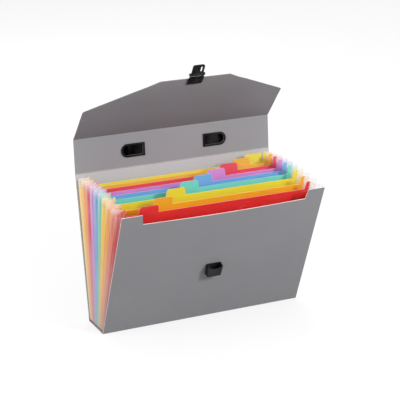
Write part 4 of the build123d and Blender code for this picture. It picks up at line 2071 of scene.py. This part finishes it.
@dataclass
class CarryHandle:
    """The handle let into the top panel: rims inside, housings, feet, links and grip outside."""

    case: CaseFrame
    flat_x: float = 49.5 * MM
    socket_length: float = 39.5 * MM
    socket_width: float = 21 * MM
    d_sides: int = 64
    height: float = 25.5 * MM
    rim: float = 1.6 * MM
    rim_border: float = 3 * MM
    housing_border: float = 2 * MM
    housing_depth: float = 8 * MM
    hollow_lift: float = 0.04 * MM
    wall: float = 1.5 * MM
    strap: float = 2.6 * MM
    strap_width: float = 14 * MM
    strap_room: float = 0.3 * MM
    strap_round: float = 0.98
    strap_steps: int = 6
    link: float = 20 * MM
    groove: float = 0.6 * MM
    groove_lift: float = 0.2 * MM
    groove_share: float = 0.8
    groove_count: int = 5
    groove_sides: int = 16
    grip: float = 7 * MM
    grip_width: float = 19 * MM
    grip_room: float = 0.05 * MM
    grip_columns: int = 16
    edge: float = 0.4 * MM

    @property
    def strap_middle(self) -> float:
        """Middle of the strap, in front of the panel's middle."""
        return -self.case.handle.half - self.strap_room - self.strap / 2

    @property
    def hinge_x(self) -> float:
        """Distance from the middle of the case to the grip's hinges."""
        return abs(joint_place("handle_grip_left_turn").x)

    @classmethod
    def d_block(cls, name: str, side: Side, border: float, depth: float, middle: float) -> Piece:
        """Start a D-shaped block on a socket, its flat end to the middle of the case.

        Args:
            name: Name of the piece.
            side: Side of the case.
            border: How far it reaches past the socket's outline.
            depth: Its depth.
            middle: Its middle, in front of the panel's middle.

        Returns:
            The piece.
        """
        sign, radius = side.value, cls.socket_width / 2 + border
        round_x = sign * (cls.flat_x + cls.socket_length - cls.socket_width / 2)
        inwards, near = facing(Vector((-sign, 0.0, 0.0))), radius / cls.d_sides
        piece = Bench.rod(name, radius, depth, (round_x, cls.height, middle), Axis.Z, cls.d_sides)
        with Bench.editing(piece):
            Bench.score((round_x, 0, 0), (-sign, 0, 0), drop=True, fill=True)
            Bench.choose(
                piece, Pick.FACE, lambda m, n: inwards(m, n) and abs(m.x - round_x) < near
            )
            Bench.pull((sign * (cls.flat_x - border) - round_x, 0, 0))
            Bench.face_outwards()
        return piece

    def build(self) -> list[Piece]:
        """Make the handle's pieces and dress its feet.

        Returns:
            The new pieces.
        """
        made = []
        for side in Side:
            made += [self.rim_piece(side), self.housing(side), self.link_piece(side)]
            # Painted shade: the feet inside the housings get the darker black.
            Bench.dress(frame["nodes"][f"handle_foot_{side.word}"], SHADED_BLACK)
        return made + [self.grip_piece()]

    def rim_piece(self, side: Side) -> Piece:
        """Make the rim inside the panel.

        Args:
            side: Side of the case.

        Returns:
            The piece.
        """
        leaf, node = self.case.handle, f"handle_rim_{side.word}"
        middle, depth = leaf.half + self.rim / 2, CUT_DEPTH * self.rim
        piece = self.d_block(f"{node}_body", side, 0.0, self.rim, middle)
        Bench.cut(piece, self.d_block("hollow", side, -self.rim_border, depth, middle))
        Bench.ease(piece, self.edge, MOULDED)
        return moulded(piece, leaf.matrix(), leaf.body, node)

    def housing(self, side: Side) -> Piece:
        """Make the hollow housing outside the panel, with the strap's slot.

        Args:
            side: Side of the case.

        Returns:
            The piece.
        """
        leaf, node = self.case.handle, f"handle_housing_{side.word}"
        border, depth, room = self.housing_border, self.housing_depth, 2 * self.strap_room
        piece = self.d_block(f"{node}_body", side, border, depth, -leaf.half - depth / 2)
        with Bench.editing(piece):
            Bench.choose(piece, Pick.FACE, facing(-FRONTWARDS))
            bpy.ops.mesh.inset(thickness=border, depth=0.0)
            bpy.ops.mesh.inset(thickness=self.edge, depth=-self.edge)
        Bench.ease(piece, 2 * self.edge, HOUSING)
        depth -= self.wall
        middle = -leaf.half - depth / 2 + self.hollow_lift
        hollow = self.d_block("hollow", side, border - self.wall, depth, middle)
        # Painted shade: the hollow's faces get the darker copy of the black.
        for part in (piece, hollow):
            Bench.dress(part, BLACK, SHADED_BLACK)
        for face in hollow.data.polygons:
            face.material_index = 1
        Bench.cut(piece, hollow)
        size = (CUT_DEPTH * self.wall, self.strap_width + room, 2 * (self.strap + room))
        middle = (side.value * (self.flat_x - border), self.height, -leaf.half)
        Bench.cut(piece, Bench.block("slot", size, middle))
        return moulded(piece, leaf.matrix(), leaf.body, node, (BLACK, SHADED_BLACK))

    def link_piece(self, side: Side) -> Piece:
        """Make a bending end of the strap, with grooves across it.

        Args:
            side: Side of the case.

        Returns:
            The piece.
        """
        node, x = f"handle_link_{side.word}", side.value * (self.hinge_x + self.link / 2)
        size = (self.link + self.strap, self.strap_width, self.strap)
        piece = Bench.block(f"{node}_body", size, (x, self.height, self.strap_middle))
        with Bench.editing(piece):
            Bench.choose(piece, Pick.EDGE, running(Axis.Y))
            Bench.round_edges(self.strap / 2 * self.strap_round, self.strap_steps)
        length, pitch = self.strap_width * self.groove_share, self.link / (self.groove_count + 1)
        outside = self.strap_middle - self.strap / 2 - self.groove_lift
        for number in range(self.groove_count):
            groove_x = x + (number - (self.groove_count - 1) / 2) * pitch
            place = (groove_x, self.height, outside)
            groove = Bench.rod("groove", self.groove, length, place, Axis.Y, self.groove_sides)
            Bench.cut(piece, groove)
        Bench.ease(piece, self.edge / 2, STRAP)
        return moulded(piece, self.case.handle.matrix(), node, node)

    def grip_piece(self) -> Piece:
        """Make the grip, which swells outwards between its hinges.

        Returns:
            The piece.
        """
        half, width = self.hinge_x - self.strap / 2 - self.grip_room, self.grip_width / 2
        low, high = (-half, self.height - width), (half, self.height + width)
        near, column = self.strap_middle + self.strap / 2, half / self.grip_columns
        piece = Bench.sheet("handle_grip_body", low, high, self.grip_columns, 1)
        with Bench.editing(piece):
            bpy.ops.mesh.select_all(action="SELECT")
            bpy.ops.transform.translate(value=(0, 0, near))
            Bench.pull((0, 0, -self.strap))
            Bench.choose(
                piece, Pick.POINT, lambda m, n: abs(m.x) < column and m.z < self.strap_middle
            )
            Bench.swell((0, 0, self.strap - self.grip), half - self.strap, "SPHERE")
            Bench.face_outwards()
        return moulded(piece, self.case.handle.matrix(), "handle_grip", "handle_grip")


# The studio


def stand_off(thing: Piece, aim: Vector, azimuth: float, elevation: float, distance: float) -> None:
    """Stand a lamp or the camera off a point and turn it to that point.

    Args:
        thing: Lamp or camera.
        aim: Point that it faces.
        azimuth: Degrees round from straight in front, to the right.
        elevation: Degrees above the table.
        distance: Distance from the point.
    """
    a, e = radians(azimuth), radians(elevation)
    out = Vector((sin(a) * cos(e), -cos(a) * cos(e), sin(e)))
    thing.location = aim + distance * out
    thing.rotation_euler = out.to_track_quat("Z", "Y").to_euler()


@dataclass(frozen=True)
class Lamp:
    """A soft square lamp that faces the case."""

    name: str
    azimuth: float
    elevation: float
    distance: float
    size: float
    energy: float

    def build(self, aim: Vector) -> None:
        """Hang the lamp.

        Args:
            aim: Point that it faces.
        """
        bpy.ops.object.light_add(type="AREA")
        lamp = bpy.context.active_object
        lamp.name = self.name
        stand_off(lamp, aim, self.azimuth, self.elevation, self.distance)
        lamp.data.energy = self.energy
        lamp.data.size = self.size


@dataclass
class Studio:
    """Floor, lamps, sky and camera."""

    floor_size: float = 6.0
    floor_cells: int = 4
    sky: float = 0.763
    aim: Vector = field(default_factory=lambda: Vector((0.00974, 0.0, 0.17835)))
    azimuth: float = -25.664
    elevation: float = 18.73
    distance: float = 2.284
    lens: float = 134.82
    sensor: float = 36.0
    lamps: tuple[Lamp, ...] = (
        Lamp("key_lamp", 30.0, 27.0, 2.0, 0.35, 22.5),
        Lamp("side_lamp", -88.0, 15.0, 1.1, 0.7, 5.4),
        Lamp("back_lamp", 165.0, 35.0, 2.0, 1.2, 10.0),
    )

    def build(self) -> None:
        """Make the studio round the case."""
        self.floor()
        for lamp in self.lamps:
            lamp.build(self.aim)
        self.light_sky()
        self.stand_camera()
        bpy.context.scene.view_settings.view_transform = "Standard"

    def floor(self) -> None:
        """Lay the floor under the case."""
        half, cells = self.floor_size / 2, self.floor_cells
        piece = Bench.sheet("studio_floor", (-half, -half), (half, half), cells, cells)
        Bench.dress(piece, FLOOR)

    def light_sky(self) -> None:
        """Light the case evenly from all round, with white for the camera."""
        world = bpy.data.worlds.new("studio_sky")
        bpy.context.scene.world = world
        world.use_nodes = True
        graph = Graph(world.node_tree)
        sky = world.node_tree.nodes["Background"]
        graph.feed(sky, "Color", WHITE)
        graph.feed(sky, "Strength", graph.span(graph.seen(), FULL, (self.sky, 1.0)))

    def stand_camera(self) -> None:
        """Stand the camera at the photograph's angle."""
        bpy.ops.object.camera_add()
        camera = bpy.context.active_object
        stand_off(camera, self.aim, self.azimuth, self.elevation, self.distance)
        camera.data.lens = self.lens
        camera.data.sensor_width = self.sensor
        bpy.context.scene.camera = camera


def main() -> None:
    """Build the case and its studio, and log the faces of each piece."""
    logging.basicConfig(level=logging.INFO, format="%(name)s: %(message)s")
    case = CaseFrame()
    for part in (Shell(case), Bellows(case), Catch(case), Clasp(case), CarryHandle(case)):
        for piece in part.build():
            log.info("%s: %s, %d faces", type(part).__name__, piece.name, len(piece.data.polygons))
    Studio().build()


if __name__ == "__main__":
    main()
